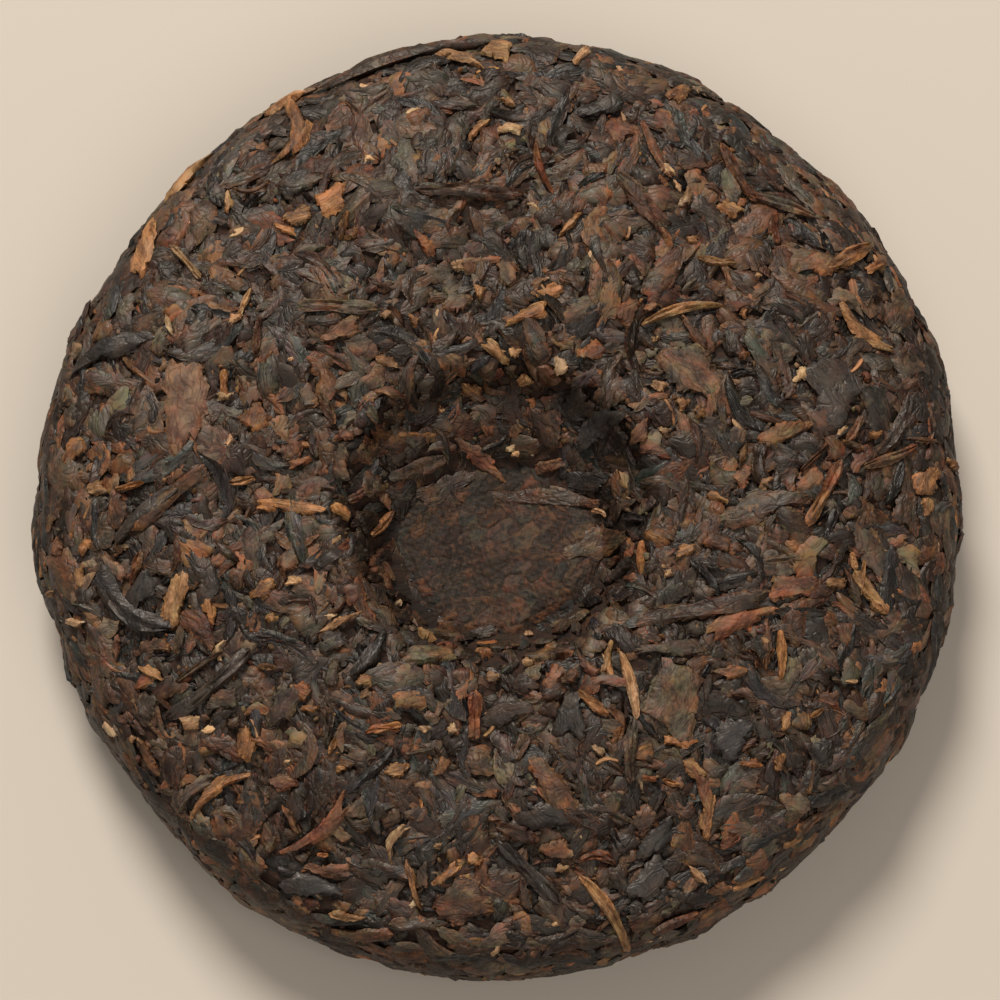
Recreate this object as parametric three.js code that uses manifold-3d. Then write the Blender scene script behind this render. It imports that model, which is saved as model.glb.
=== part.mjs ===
// A small round cake of ripe pu erh: fermented tea leaves, steamed and pressed in a cloth bag.
// It lies on its flat face, with the dimple that the bag's knot pressed into its back on top.
// Millimetres, +Z up. The origin is on the surface that the cake lies on, under its middle.

import * as THREE from 'three';
import Module from 'manifold-3d';
import { mergeVertices } from 'three/addons/utils/BufferGeometryUtils.js';

// The pressed cake: a disc with a ring round the dimple, round shoulders and a flat spot below
const CAKE_RADIUS = 52.5;
const CAKE_HEIGHT = 19.6;
const CREST_RADIUS = 26;
const RING_DIP = 1;
const SHOULDER_DROP = 3.2;
const RIM_START = 46.5;
const REST_RADIUS = 20;
const BASE_RISE = 2.6;

// The press leaves the outline a little out of round: [crests, height, place of a crest in degrees]
const OUTLINE_WAVES = [[2, 0.95, 84], [3, 0.15, -52], [4, 0.28, -3], [5, 0.2, 26]];

// The dimple: an oval floor, and an oval mouth that sits further back, so the near wall is steep.
// The far wall is a slope that hollows out towards the floor, under a sharp lip.
const DIMPLE_X = -0.4;
const DIMPLE_Y = -5.6;
const DIMPLE_DEPTH = 7.6;
const FLOOR_HALF_X = 11.6;
const FLOOR_HALF_Y = 9.6;
const MOUTH_HALF_X = 18.4;
const MOUTH_HALF_Y = 18.9;
const MOUTH_BACK = 2.3;
const LIP_SHARE = 0.4;
const LIP_START = 0.8;
const SLOPE_HOLLOW = 1.4;
const FAR_START = -0.2;
const FAR_END = 0.8;
const DIMPLE_FADE_SHARE = 0.8;

// Uneven pressing: gentle waves over the whole surface, each shorter and lower than the last
const RELIEF_WAVES = 6;
const RELIEF_LENGTH = 24;
const RELIEF_DEPTH = 0.34;
const RELIEF_STEP = 0.76;
const RELIEF_FADE = 8;

// Crags: every corner of the faceted body is pushed out or in a little
const CRAG_DEPTH = 0.32;

// How fine the faceted body is: finer in the dimple and coarser below than on the ring
const BODY_DETAIL = 9;
const DIMPLE_FINENESS = 2.4;
const UNDERSIDE_FINENESS = 0.45;
const UNDERSIDE_SHARE = 0.25;
const TOP_STEPS = 90;
const RIM_STEPS = 40;
const SLOPE_STEP = 0.4;

// Leaves: how far each kind stands proud of the cake and reaches down into it
const FLAKE = { proud: 0.65, deep: 0.7, blunt: 0.55, sides: 6, steps: 4 };
const STEM = { proud: 0.9, deep: 0.6, blunt: 0.35, sides: 5, steps: 4 };
const BUD = { proud: 1, deep: 0.6, blunt: 0.8, sides: 5, steps: 4 };
const SMALL_FLAKE = { proud: 0.7, deep: 0.9, blunt: 0.6, sides: 5, steps: 3 };
const SMALL_STEM = { proud: 0.85, deep: 0.9, blunt: 0.4, sides: 4, steps: 3 };

// A bent leaf's middle moves sideways by this share of its bend, and its ends by the rest
const BEND_MIDDLE = 0.5;
const SMALLEST_SHARE = 1e-6;

// The leaves that stand out: [x, y, turn in degrees, length, width, sideways bend]
const FLAKES = [
  [-35.5, 9.5, -86, 11.7, 4.6, 0],
  [-0.5, 50.5, -8, 3.6, 3.2, 0],
  [37, 26, 35, 5.5, 2.4, 0],
  [20, 46, 40, 3.6, 1.8, 0],
  [21, 13.5, -50, 6.4, 5.6, 0],
  [31, 6.5, 25, 5.8, 2.3, 0],
  [18.5, -18, 4, 7.3, 1.9, 0],
  [-18.5, -42.5, -5, 4.8, 1.8, 0],
  [-33.5, -33, 36, 5, 1.8, 0.4],
  [-36, -12.5, 80, 6.2, 2.4, 0],
  [-48, 5, 60, 3.2, 2, 0],
  [-24, -24, 60, 5.5, 2.7, 0],
  [-4.5, -45.5, 5, 6.9, 4.4, 0],
  [32.5, -35, 10, 3.4, 2.7, 0],
  [-44, 16, 15, 9.3, 2.4, 0.8],
  [-23, -2, -8, 6.9, 1.7, 0],
  [5.5, -33, -55, 7, 3.3, 0],
  [19, -24, 75, 8.3, 6, 0],
  [-18, 18, 16, 4.5, 2, 0],
  [22, -13.5, 8, 14.4, 2.4, 0],
  [36.5, 11.5, -40, 7.3, 5.6, 0],
  [-21, -44, -8, 7.7, 3.3, 0],
  [17, -44, 10, 7.7, 5, 0],
  [7.5, -25, 80, 5.5, 3, 0],
  [25, -26.5, 20, 6.6, 5.2, 0],
  [-23, 35, 25, 5.4, 2.7, 0],
  [11, 44, 30, 5.5, 2, 0],
  [44.5, 21, 60, 4.6, 3.6, 0],
];
const STEMS = [
  [-11, 50.5, 12, 21, 2, 0.5],
  [17, 38.5, -65, 7.7, 1.2, -0.3],
  [26.5, 36.5, -55, 7.7, 1.4, -0.4],
  [31.5, 33, -16, 8.3, 1.4, 0.4],
  [39.5, 27, 27, 6.9, 1.5, 0],
  [4.5, 36.5, -72, 6.6, 1.1, -0.4],
  [20, 20, 15, 9.4, 1.1, 0.7],
  [35.5, -0.5, 63, 8.6, 1.4, 0],
  [43.5, 4, 24, 7.3, 1.2, -0.4],
  [14, -22, -80, 7.7, 1.3, 0.3],
  [14, -29.5, -92, 7.3, 1.3, -0.4],
  [30.5, -18, -90, 5.5, 1.2, 0],
  [11.5, -46.5, -56, 10.7, 1.4, 0.7],
  [3, -42.5, -47, 9.5, 1.8, 0],
  [-44.5, -11, -72, 8.3, 2.4, -0.7],
  [-40, -15.5, -10, 5.5, 2.2, -0.6],
  [19, -47, 20, 5.8, 1.4, 0.3],
  [22, -33.5, -75, 6.4, 1.4, 0.4],
  [40.5, -11, -52, 6.1, 1.5, 0],
  [-37, -1, 42, 10.5, 1.8, 0],
  [-13.5, -3, 55, 5.3, 1.2, 0],
  [-18, 20.5, -3, 9.1, 1.5, 0],
  [-32, -22, 38, 12, 1.6, -0.6],
  [48, -18, -66, 12.4, 2.2, -0.6],
];
const BUDS = [
  [-23.5, 41.5, 80, 8.3, 1.6, -1.8],
  [-40, 28, 85, 6.9, 2.2, 0.4],
  [1, 41.5, -10, 2.8, 1.4, 0],
  [41, 18.5, -31, 7.3, 1.6, -0.6],
  [26.5, -15, 25, 7.1, 2.2, 0.6],
  [-12, -39, 62, 4.6, 1.2, 0.8],
  [-20, -37, 42, 10.5, 1.5, -1.3],
  [-31, -33.5, 38, 7.1, 1.5, 0.7],
  [3, 19.5, 22, 4.2, 1.5, 0],
  [6.5, 14, -70, 2.2, 1.4, 0],
  [-18, -15, 28, 4.2, 1.2, 0],
];

// The rest of the surface: leaves spread evenly by the golden angle, with seeded sizes and turns
const SPREAD_COUNT = 150;
const SPREAD_CLEAR = 3.4;
const SPREAD_LONG = [4, 8];
const SPREAD_WIDE = [2, 4.2];
const SPREAD_STEM_WIDE = 1.3;
const SPREAD_BEND = 0.9;
const STEM_EVERY = 4;
const REST_CLEAR = 14;

// The random number generator's seed, factor, step and range
const SEED = 357;
const RANDOM_FACTOR = 1664525;
const RANDOM_STEP = 1013904223;
const RANDOM_RANGE = 2 ** 32;

const LEAF_COLOUR = 0x4a3a31;
const GOLDEN_ANGLE = Math.PI * (3 - Math.sqrt(5));

function smoothStep(from, to, value) {
  const t = THREE.MathUtils.clamp((value - from) / (to - from), 0, 1);
  return t * t * (3 - 2 * t);
}

function ringHeight(r) {
  if (r < CREST_RADIUS) {
    return CAKE_HEIGHT - RING_DIP * ((CREST_RADIUS - r) / CREST_RADIUS) ** 2;
  }
  return CAKE_HEIGHT - SHOULDER_DROP * ((r - CREST_RADIUS) / (RIM_START - CREST_RADIUS)) ** 2;
}

function undersideHeight(r) {
  const past = Math.max(0, r - REST_RADIUS) / (RIM_START - REST_RADIUS);
  return BASE_RISE * past * past;
}

// Half of the cake's cross-section, from the middle of the top, round the rim, to the middle below
function sectionPoints() {
  const points = [];
  const rimTop = ringHeight(RIM_START);
  const rimBottom = undersideHeight(RIM_START);
  for (let i = 0; i < TOP_STEPS; i++) {
    const r = (RIM_START * i) / TOP_STEPS;
    points.push(new THREE.Vector2(r, ringHeight(r)));
  }
  for (let i = 0; i <= RIM_STEPS; i++) {
    const angle = Math.PI * (0.5 - i / RIM_STEPS);
    const r = RIM_START + (CAKE_RADIUS - RIM_START) * Math.cos(angle);
    const z = (rimTop + rimBottom) / 2 + ((rimTop - rimBottom) / 2) * Math.sin(angle);
    points.push(new THREE.Vector2(r, z));
  }
  for (let i = TOP_STEPS - 1; i >= 0; i--) {
    const r = (RIM_START * i) / TOP_STEPS;
    points.push(new THREE.Vector2(r, undersideHeight(r)));
  }
  return points;
}

function fineness(point) {
  if (point.y < CAKE_HEIGHT * UNDERSIDE_SHARE) {
    return UNDERSIDE_FINENESS;
  }
  return point.x < MOUTH_HALF_X + MOUTH_BACK ? DIMPLE_FINENESS : 1;
}

// The section with the length along it up to each of its points, and the area that it sweeps,
// where finer stretches count for more
function measureSection() {
  const points = sectionPoints();
  const lengths = [0];
  const areas = [0];
  for (let i = 1; i < points.length; i++) {
    const step = points[i].distanceTo(points[i - 1]);
    lengths.push(lengths[i - 1] + step);
    const area = (step * (points[i].x + points[i - 1].x)) / 2;
    areas.push(areas[i - 1] + area * fineness(points[i]));
  }
  return { lengths, areas, radii: points.map((p) => p.x), heights: points.map((p) => p.y) };
}

const section = measureSection();
const sectionLength = section.lengths.at(-1);
const sectionArea = section.areas.at(-1);

function lookUp(keys, values, key) {
  let high = 1;
  while (high < keys.length - 1 && keys[high] < key) {
    high += 1;
  }
  const share = THREE.MathUtils.clamp((key - keys[high - 1]) / (keys[high] - keys[high - 1]), 0, 1);
  return THREE.MathUtils.lerp(values[high - 1], values[high], share);
}

function outlineWave(angle) {
  let height = 0;
  for (const [crests, size, place] of OUTLINE_WAVES) {
    height += size * Math.cos(crests * (angle - THREE.MathUtils.degToRad(place)));
  }
  return height;
}

function dimpleDepth(x, y) {
  const floorY = y - DIMPLE_Y;
  const fromFloor = Math.hypot((x - DIMPLE_X) / FLOOR_HALF_X, floorY / FLOOR_HALF_Y) - 1;
  const toMouth = 1 - Math.hypot((x - DIMPLE_X) / MOUTH_HALF_X, (floorY - MOUTH_BACK) / MOUTH_HALF_Y);
  if (fromFloor <= 0) {
    return DIMPLE_DEPTH;
  }
  const up = fromFloor / (fromFloor + Math.max(toMouth, 0));
  const slope = (1 - LIP_SHARE) * up ** SLOPE_HOLLOW + LIP_SHARE * smoothStep(LIP_START, 1, up);
  const far = smoothStep(FAR_START, FAR_END, floorY / Math.hypot(x - DIMPLE_X, floorY));
  return DIMPLE_DEPTH * (1 - THREE.MathUtils.lerp(smoothStep(0, 1, up), slope, far));
}

function relief(x, y, z) {
  let height = 0;
  for (let i = 0; i < RELIEF_WAVES; i++) {
    const shrink = RELIEF_STEP ** i;
    const along = x * Math.cos(GOLDEN_ANGLE * i) + y * Math.sin(GOLDEN_ANGLE * i) + z * Math.cos(i);
    height += RELIEF_DEPTH * shrink * Math.sin((2 * Math.PI * along) / (RELIEF_LENGTH * shrink) + i);
  }
  return height;
}

// A place on the cake's skin. (a, b) is a flat map: its distance from 0 is the length along the
// section from the middle of the top when side is 1, or from the middle below when side is -1.
function skinPoint(a, b, side) {
  const distance = Math.hypot(a, b);
  const angle = Math.atan2(b, a);
  const length = side > 0 ? distance : sectionLength - distance;
  const r = lookUp(section.lengths, section.radii, length);
  const z = lookUp(section.lengths, section.heights, length);
  const reach = r + (outlineWave(angle) * r * r) / (CAKE_RADIUS * CAKE_RADIUS);
  const point = new THREE.Vector3(reach * Math.cos(angle), reach * Math.sin(angle), z);
  const middle = CAKE_HEIGHT / 2;
  const lean = THREE.MathUtils.clamp((z - middle) / middle, -1, 1);
  const fade = side < 0 ? smoothStep(REST_RADIUS, REST_RADIUS + RELIEF_FADE, r) : 1;
  const swell = relief(point.x, point.y, point.z) * fade;
  point.x += swell * (1 - Math.abs(lean)) * Math.cos(angle);
  point.y += swell * (1 - Math.abs(lean)) * Math.sin(angle);
  point.z += swell * lean;
  if (side > 0) {
    const inTop = smoothStep(middle, CAKE_HEIGHT * DIMPLE_FADE_SHARE, z);
    point.z -= dimpleDepth(point.x, point.y) * inTop;
  }
  point.z = Math.max(point.z, 0);
  return point;
}

// The skin's slopes along the map's two directions, and its normal
function skinFrame(a, b, side) {
  const step = SLOPE_STEP;
  const slopeA = skinPoint(a + step, b, side).sub(skinPoint(a - step, b, side)).divideScalar(2 * step);
  const slopeB = skinPoint(a, b + step, side).sub(skinPoint(a, b - step, side)).divideScalar(2 * step);
  const normal = slopeA.clone().cross(slopeB).multiplyScalar(side).normalize();
  return { point: skinPoint(a, b, side), slopeA, slopeB, normal };
}

// The step on the map that moves by a given vector along the skin
function mapStep(frame, move) {
  const aa = frame.slopeA.dot(frame.slopeA);
  const ab = frame.slopeA.dot(frame.slopeB);
  const bb = frame.slopeB.dot(frame.slopeB);
  const moveA = frame.slopeA.dot(move);
  const moveB = frame.slopeB.dot(move);
  const size = aa * bb - ab * ab;
  return [(bb * moveA - ab * moveB) / size, (aa * moveB - ab * moveA) / size];
}

const wasm = await Module();
wasm.setup();

function toSolid(geometry) {
  const mesh = { numProp: 3, vertProperties: geometry.attributes.position.array };
  return new wasm.Manifold(new wasm.Mesh({ ...mesh, triVerts: new Uint32Array(geometry.index.array) }));
}

function bareGeometry(geometry) {
  geometry.deleteAttribute('normal');
  geometry.deleteAttribute('uv');
  return mergeVertices(geometry);
}

// A small seeded random number generator, so every build is the same
function seededRandom(seed) {
  let state = seed;
  return () => {
    state = (state * RANDOM_FACTOR + RANDOM_STEP) % RANDOM_RANGE;
    return state / RANDOM_RANGE;
  };
}

// The body: a ball's points spread over the skin, with equal areas kept equal
function pressedBody() {
  const random = seededRandom(SEED);
  const geometry = bareGeometry(new THREE.IcosahedronGeometry(1, BODY_DETAIL));
  const position = geometry.attributes.position;
  for (let i = 0; i < position.count; i++) {
    const crag = CRAG_DEPTH * (2 * random() - 1);
    const angle = Math.atan2(position.getY(i), position.getX(i));
    const share = (1 - position.getZ(i)) / 2;
    const length = lookUp(section.areas, section.lengths, share * sectionArea);
    const side = length < sectionLength / 2 ? 1 : -1;
    const distance = side > 0 ? length : sectionLength - length;
    const { point, normal } = skinFrame(distance * Math.cos(angle), distance * Math.sin(angle), side);
    if (side > 0 || distance > REST_RADIUS + RELIEF_FADE) {
      point.addScaledVector(normal, crag);
    }
    position.setXYZ(i, point.x, point.y, Math.max(point.z, 0));
  }
  return toSolid(geometry);
}

// One leaf laid on the skin: a ball drawn out along its length, flattened and bent
function leafSolid(kind, [a, b, turn, long, wide, bend], side) {
  const geometry = bareGeometry(new THREE.SphereGeometry(1, kind.sides, kind.steps).rotateZ(Math.PI / 2));
  const position = geometry.attributes.position;
  const frame = skinFrame(a, b, side);
  const angle = THREE.MathUtils.degToRad(turn);
  const along = frame.slopeA.clone().multiplyScalar(Math.cos(angle));
  along.addScaledVector(frame.slopeB, Math.sin(angle)).normalize();
  const across = frame.normal.clone().cross(along);
  for (let i = 0; i < position.count; i++) {
    const t = position.getX(i);
    const fullness = Math.max(1 - t * t, SMALLEST_SHARE) ** ((kind.blunt - 1) / 2);
    const u = (t * long) / 2;
    const v = (position.getY(i) * fullness * wide) / 2 + bend * (BEND_MIDDLE - t * t);
    const w = position.getZ(i) * (position.getZ(i) > 0 ? kind.proud : kind.deep);
    const move = along.clone().multiplyScalar(u).addScaledVector(across, v);
    const [da, db] = mapStep(frame, move);
    const local = skinFrame(a + da, b + db, side);
    local.point.addScaledVector(local.normal, w);
    position.setXYZ(i, local.point.x, local.point.y, Math.max(local.point.z, 0));
  }
  return toSolid(geometry);
}

function spreadLeaves(named) {
  const random = seededRandom(SEED);
  const between = ([low, high]) => low + (high - low) * random();
  const leaves = [];
  for (let i = 0; i < SPREAD_COUNT; i++) {
    const length = lookUp(section.areas, section.lengths, (sectionArea * (i + 0.5)) / SPREAD_COUNT);
    const side = length < sectionLength / 2 ? 1 : -1;
    const distance = side > 0 ? length : sectionLength - length;
    const angle = i * GOLDEN_ANGLE;
    const a = distance * Math.cos(angle);
    const b = distance * Math.sin(angle);
    const kind = i % STEM_EVERY === 0 ? SMALL_STEM : SMALL_FLAKE;
    const turn = 360 * random();
    const long = between(SPREAD_LONG);
    const wide = between(SPREAD_WIDE);
    const bend = SPREAD_BEND * (random() - 0.5);
    const leaf = [a, b, turn, long, kind === SMALL_STEM ? SPREAD_STEM_WIDE : wide, bend];
    const onRest = side < 0 && distance < REST_RADIUS + REST_CLEAR;
    const taken = side > 0 && named.some(([x, y]) => Math.hypot(x - a, y - b) < SPREAD_CLEAR);
    if (!onRest && !taken) {
      leaves.push({ kind, leaf, side });
    }
  }
  return leaves;
}

function teaCakeGeometry() {
  const named = [...FLAKES, ...STEMS, ...BUDS];
  const leaves = [
    ...FLAKES.map((leaf) => ({ kind: FLAKE, leaf, side: 1 })),
    ...STEMS.map((leaf) => ({ kind: STEM, leaf, side: 1 })),
    ...BUDS.map((leaf) => ({ kind: BUD, leaf, side: 1 })),
    ...spreadLeaves(named),
  ];
  let cake = pressedBody();
  for (const { kind, leaf, side } of leaves) {
    cake = cake.add(leafSolid(kind, leaf, side));
  }
  const mesh = cake.getMesh();
  const geometry = new THREE.BufferGeometry();
  geometry.setAttribute('position', new THREE.BufferAttribute(mesh.vertProperties, mesh.numProp));
  geometry.setIndex(new THREE.BufferAttribute(mesh.triVerts, 1));
  geometry.computeVertexNormals();
  return geometry;
}

const material = new THREE.MeshStandardMaterial({
  color: LEAF_COLOUR,
  roughness: 0.6,
  metalness: 0,
  flatShading: true,
});

const teaCake = new THREE.Mesh(teaCakeGeometry(), material);
teaCake.name = 'tea_cake';

const group = new THREE.Group();
group.add(teaCake);

export default group;
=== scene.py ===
# %% [markdown]
# A small round cake of ripe pu erh: fermented tea leaves, steamed in a cloth bag and pressed into
# a disc. The bag's knot leaves a dimple in the back, and that is the side that shows here. The
# CAD cake comes in first as a fixed frame. It could be dressed by displacing its own surface, but
# a tea cake is a pile of separate leaves, so they are made one by one and laid on its skin.

import math

import bmesh
import bpy
import numpy as np
from mathutils import Matrix


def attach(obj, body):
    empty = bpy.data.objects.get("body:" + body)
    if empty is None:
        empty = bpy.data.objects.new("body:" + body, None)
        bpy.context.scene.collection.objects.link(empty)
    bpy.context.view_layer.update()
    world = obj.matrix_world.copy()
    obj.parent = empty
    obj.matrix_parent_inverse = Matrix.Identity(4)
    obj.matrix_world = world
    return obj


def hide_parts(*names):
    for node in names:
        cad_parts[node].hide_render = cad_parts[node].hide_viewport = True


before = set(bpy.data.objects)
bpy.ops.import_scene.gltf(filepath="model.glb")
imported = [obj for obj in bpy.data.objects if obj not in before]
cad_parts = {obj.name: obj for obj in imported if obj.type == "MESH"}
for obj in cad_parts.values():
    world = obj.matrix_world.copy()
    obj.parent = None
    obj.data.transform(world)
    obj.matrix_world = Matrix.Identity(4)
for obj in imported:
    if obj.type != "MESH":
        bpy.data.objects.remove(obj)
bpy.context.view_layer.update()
MM = 0.001
GOLDEN_ANGLE = math.pi * (3 - math.sqrt(5))

# %% [markdown]
# The photo looks at the cake's back nearly straight on, a little from below. The cake lies flat
# here, so the camera hangs above it, 10 degrees off upright. A long lens keeps the outline round,
# as in the photo. The rotation could come from a Track To constraint, but one angle says it all.

# %% Camera
PHOTO_SPAN = 112.4 * MM
CAMERA_DISTANCE = 0.6
CAMERA_TILT = math.radians(10)
TARGET_HEIGHT = 10 * MM
TARGET_RIGHT = -0.2 * MM
TARGET_UP = 0.43 * MM
SENSOR_WIDTH = 36

camera_data = bpy.data.cameras.new("camera")
camera_data.sensor_fit = "HORIZONTAL"
camera_data.sensor_width = SENSOR_WIDTH
camera_data.lens = SENSOR_WIDTH * CAMERA_DISTANCE / PHOTO_SPAN
camera = bpy.data.objects.new("camera", camera_data)
camera.rotation_euler = (CAMERA_TILT, 0, 0)
tilt_sin = math.sin(CAMERA_TILT)
tilt_cos = math.cos(CAMERA_TILT)
camera.location = (
    TARGET_RIGHT,
    TARGET_UP * tilt_cos - CAMERA_DISTANCE * tilt_sin,
    TARGET_HEIGHT + TARGET_UP * tilt_sin + CAMERA_DISTANCE * tilt_cos,
)
bpy.context.scene.collection.objects.link(camera)
bpy.context.scene.camera = camera
print("camera lens in mm:", round(camera_data.lens, 1))

# %% [markdown]
# Colours are picked as sRGB hex values, and shaders work in linear light, so one function turns
# the first into the second. A second small function adds a node, sets it and links it, which
# keeps each material readable as a list of steps. Nodes could be set and linked line by line
# instead, but that takes four lines a node.

# %% Colours and nodes
def linear(hex_colour):
    channels = [int(hex_colour[i : i + 2], 16) / 255 for i in (1, 3, 5)]
    return [c / 12.92 if c <= 0.04045 else ((c + 0.055) / 1.055) ** 2.4 for c in channels] + [1]


def add(tree, kind, inputs=None, **settings):
    """Adds a node. Settings are its own, and each input gets a value or a socket to link."""
    node = tree.nodes.new(kind)
    for name, value in settings.items():
        setattr(node, name, value)
    for name, value in (inputs or {}).items():
        if isinstance(value, bpy.types.NodeSocket):
            tree.links.new(value, node.inputs[name])
        else:
            node.inputs[name].default_value = value
    return node


def new_material(name):
    material = bpy.data.materials.new(name)
    material.use_nodes = True
    material.node_tree.nodes.clear()
    return material, material.node_tree


def close_material(tree, shader):
    add(tree, "ShaderNodeOutputMaterial", {"Surface": shader.outputs[0]})


def link_object(name, mesh):
    thing = bpy.data.objects.new(name, mesh)
    bpy.context.scene.collection.objects.link(thing)
    return thing


print("mid grey in linear light:", round(linear("#808080")[0], 3))

# %% [markdown]
# A product photo of something this dark wants a pale, matt floor and soft light. The light in the
# photo falls from the upper left, low enough to shade the far wall of the dimple and to draw a
# dark line under each leaf. One large area light does that, a weaker one fills from the other
# side, and the pale world keeps the deepest cracks from going black.

# %% Floor and light
FLOOR_HALF = 2
LIGHT_AIM = np.array([0, 0, 10 * MM])

floor_shape = bmesh.new()
bmesh.ops.create_grid(floor_shape, x_segments=1, y_segments=1, size=FLOOR_HALF)
floor_mesh = bpy.data.meshes.new("floor")
floor_shape.to_mesh(floor_mesh)
floor_shape.free()
floor = link_object("floor", floor_mesh)
floor_material, tree = new_material("matt_paper")
close_material(tree, add(tree, "ShaderNodeBsdfPrincipled",
                         {"Base Color": linear("#c6c2bc"), "Roughness": 0.9}))
floor_mesh.materials.append(floor_material)


def area_light(name, azimuth, elevation, distance, size, watts, hex_colour):
    """A soft round light. Azimuth 0 is the right of the picture and 90 its top."""
    data = bpy.data.lights.new(name, "AREA")
    data.shape = "DISK"
    data.size = size
    data.energy = watts
    data.color = linear(hex_colour)[:3]
    light = bpy.data.objects.new(name, data)
    turn = math.radians(azimuth)
    rise = math.radians(elevation)
    level = math.cos(rise)
    way = np.array([math.cos(turn) * level, math.sin(turn) * level, math.sin(rise)])
    light.location = LIGHT_AIM + way * distance
    light.rotation_euler = (math.pi / 2 - rise, 0, turn + math.pi / 2)
    bpy.context.scene.collection.objects.link(light)


area_light("window", azimuth=106, elevation=49, distance=1.3, size=0.46, watts=17.8,
           hex_colour="#fff3e4")
area_light("fill", azimuth=-60, elevation=62, distance=1, size=0.8, watts=3, hex_colour="#fff1e2")
world = bpy.data.worlds.new("studio")
world.use_nodes = True
background = world.node_tree.nodes["Background"]
background.inputs["Color"].default_value = linear("#f4e6d6")
background.inputs["Strength"].default_value = 0.26
bpy.context.scene.world = world
bpy.context.scene.view_settings.view_transform = "Standard"
print("lights:", [light.name for light in bpy.data.lights])

# %% [markdown]
# Every leaf has to lie on the cake, so the script needs the cake's skin as a formula: half a
# cross-section from the middle of the top, round the rim, to the middle below, spun about the
# axis, pushed out of round, dimpled and gently waved. It lies half a millimetre inside the CAD
# cake's outline, as much as the leaves stand out. Ray casts onto the CAD cake could find the skin
# as well, but a formula also gives a flat map of it, on which leaves are easy to lay.

# %% Half a cross-section, in millimetres
CAKE_RADIUS = 52
CAKE_HEIGHT = 19.6
CREST_RADIUS = 26
RING_DIP = 1
SHOULDER_DROP = 3.2
RIM_START = 46.5
REST_RADIUS = 20
BASE_RISE = 2.6
SECTION_STEPS = 120


def section():
    """The cross-section's radii and heights, and the length along it up to each point."""
    flat = np.linspace(0, RIM_START, SECTION_STEPS)
    inner = CAKE_HEIGHT - RING_DIP * ((CREST_RADIUS - flat) / CREST_RADIUS) ** 2
    outer = CAKE_HEIGHT - SHOULDER_DROP * ((flat - CREST_RADIUS) / (RIM_START - CREST_RADIUS)) ** 2
    top = np.where(flat < CREST_RADIUS, inner, outer)
    base = BASE_RISE * (np.maximum(0, flat - REST_RADIUS) / (RIM_START - REST_RADIUS)) ** 2
    turn = np.linspace(math.pi / 2, -math.pi / 2, SECTION_STEPS)[1:-1]
    rim_r = RIM_START + (CAKE_RADIUS - RIM_START) * np.cos(turn)
    rim_z = (top[-1] + base[-1]) / 2 + (top[-1] - base[-1]) / 2 * np.sin(turn)
    radii = np.concatenate([flat, rim_r, flat[::-1]])
    heights = np.concatenate([top, rim_z, base[::-1]])
    steps = np.hypot(np.diff(radii), np.diff(heights))
    return radii, heights, np.concatenate([[0], np.cumsum(steps)])


radii, heights, lengths = section()
section_length = lengths[-1]
print("section length in mm:", round(section_length, 1))

# %% [markdown]
# The dimple is the print of the bag's knot: a flat oval floor with a steep near wall and a longer
# far slope. The rest of the skin swells a little, as hand-filled cakes do. Both could be sculpted,
# but as formulas they bend the map and every leaf on it at once.

# %% Dimple and swells
DIMPLE_X = -0.4
DIMPLE_Y = -5.6
DIMPLE_DEPTH = 7.6
FLOOR_HALF_X = 11.6
FLOOR_HALF_Y = 9.6
MOUTH_HALF_X = 18.4
MOUTH_HALF_Y = 18.9
MOUTH_BACK = 2.3
LIP_SHARE = 0.4
LIP_START = 0.8
SLOPE_HOLLOW = 1.4
FAR_START = -0.2
FAR_END = 0.8
RELIEF_WAVES = 6
RELIEF_LENGTH = 24
RELIEF_DEPTH = 0.34
RELIEF_STEP = 0.76
RELIEF_FADE = 8


def smooth_step(start, end, value):
    """0 up to the start, 1 from the end on, and a soft rise between them."""
    t = np.clip((value - start) / (end - start), 0, 1)
    return t * t * (3 - 2 * t)


def dimple_depth(x, y):
    """How deep the dimple is: a flat oval floor, a steep near wall and a long far slope."""
    floor_x = x - DIMPLE_X
    floor_y = y - DIMPLE_Y
    from_floor = np.maximum(np.hypot(floor_x / FLOOR_HALF_X, floor_y / FLOOR_HALF_Y) - 1, 0)
    to_mouth = 1 - np.hypot(floor_x / MOUTH_HALF_X, (floor_y - MOUTH_BACK) / MOUTH_HALF_Y)
    up = from_floor / np.maximum(from_floor + np.maximum(to_mouth, 0), 1e-9)
    slope = (1 - LIP_SHARE) * up**SLOPE_HOLLOW + LIP_SHARE * smooth_step(LIP_START, 1, up)
    far = smooth_step(FAR_START, FAR_END, floor_y / np.maximum(np.hypot(floor_x, floor_y), 1e-9))
    even = smooth_step(0, 1, up)
    return DIMPLE_DEPTH * (1 - even - (slope - even) * far)


def relief(x, y, z):
    """Gentle swells of the whole skin, waves of ever shorter length in turning directions."""
    height = 0
    for i in range(RELIEF_WAVES):
        shrink = RELIEF_STEP**i
        along = x * math.cos(GOLDEN_ANGLE * i) + y * math.sin(GOLDEN_ANGLE * i) + z * math.cos(i)
        phase = 2 * math.pi * along / (RELIEF_LENGTH * shrink)
        height = height + RELIEF_DEPTH * shrink * np.sin(phase + i)
    return height


print("dimple depth at its middle in mm:", dimple_depth(DIMPLE_X, DIMPLE_Y))

# %% [markdown]
# The map lays the skin out flat round the middle of the top, and a second one round the middle
# below, as two views of a globe do. A leaf needs the place itself and the slopes there, which give
# the normal. They are taken from two near places, because the formula has no tidy derivative.

# %% Places on the skin
OUTLINE_WAVES = [[2, 0.95, 84], [3, 0.15, -52], [4, 0.28, -3], [5, 0.2, 26]]
UPPER_SHARE = 0.8
SLOPE_STEP = 0.4


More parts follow.
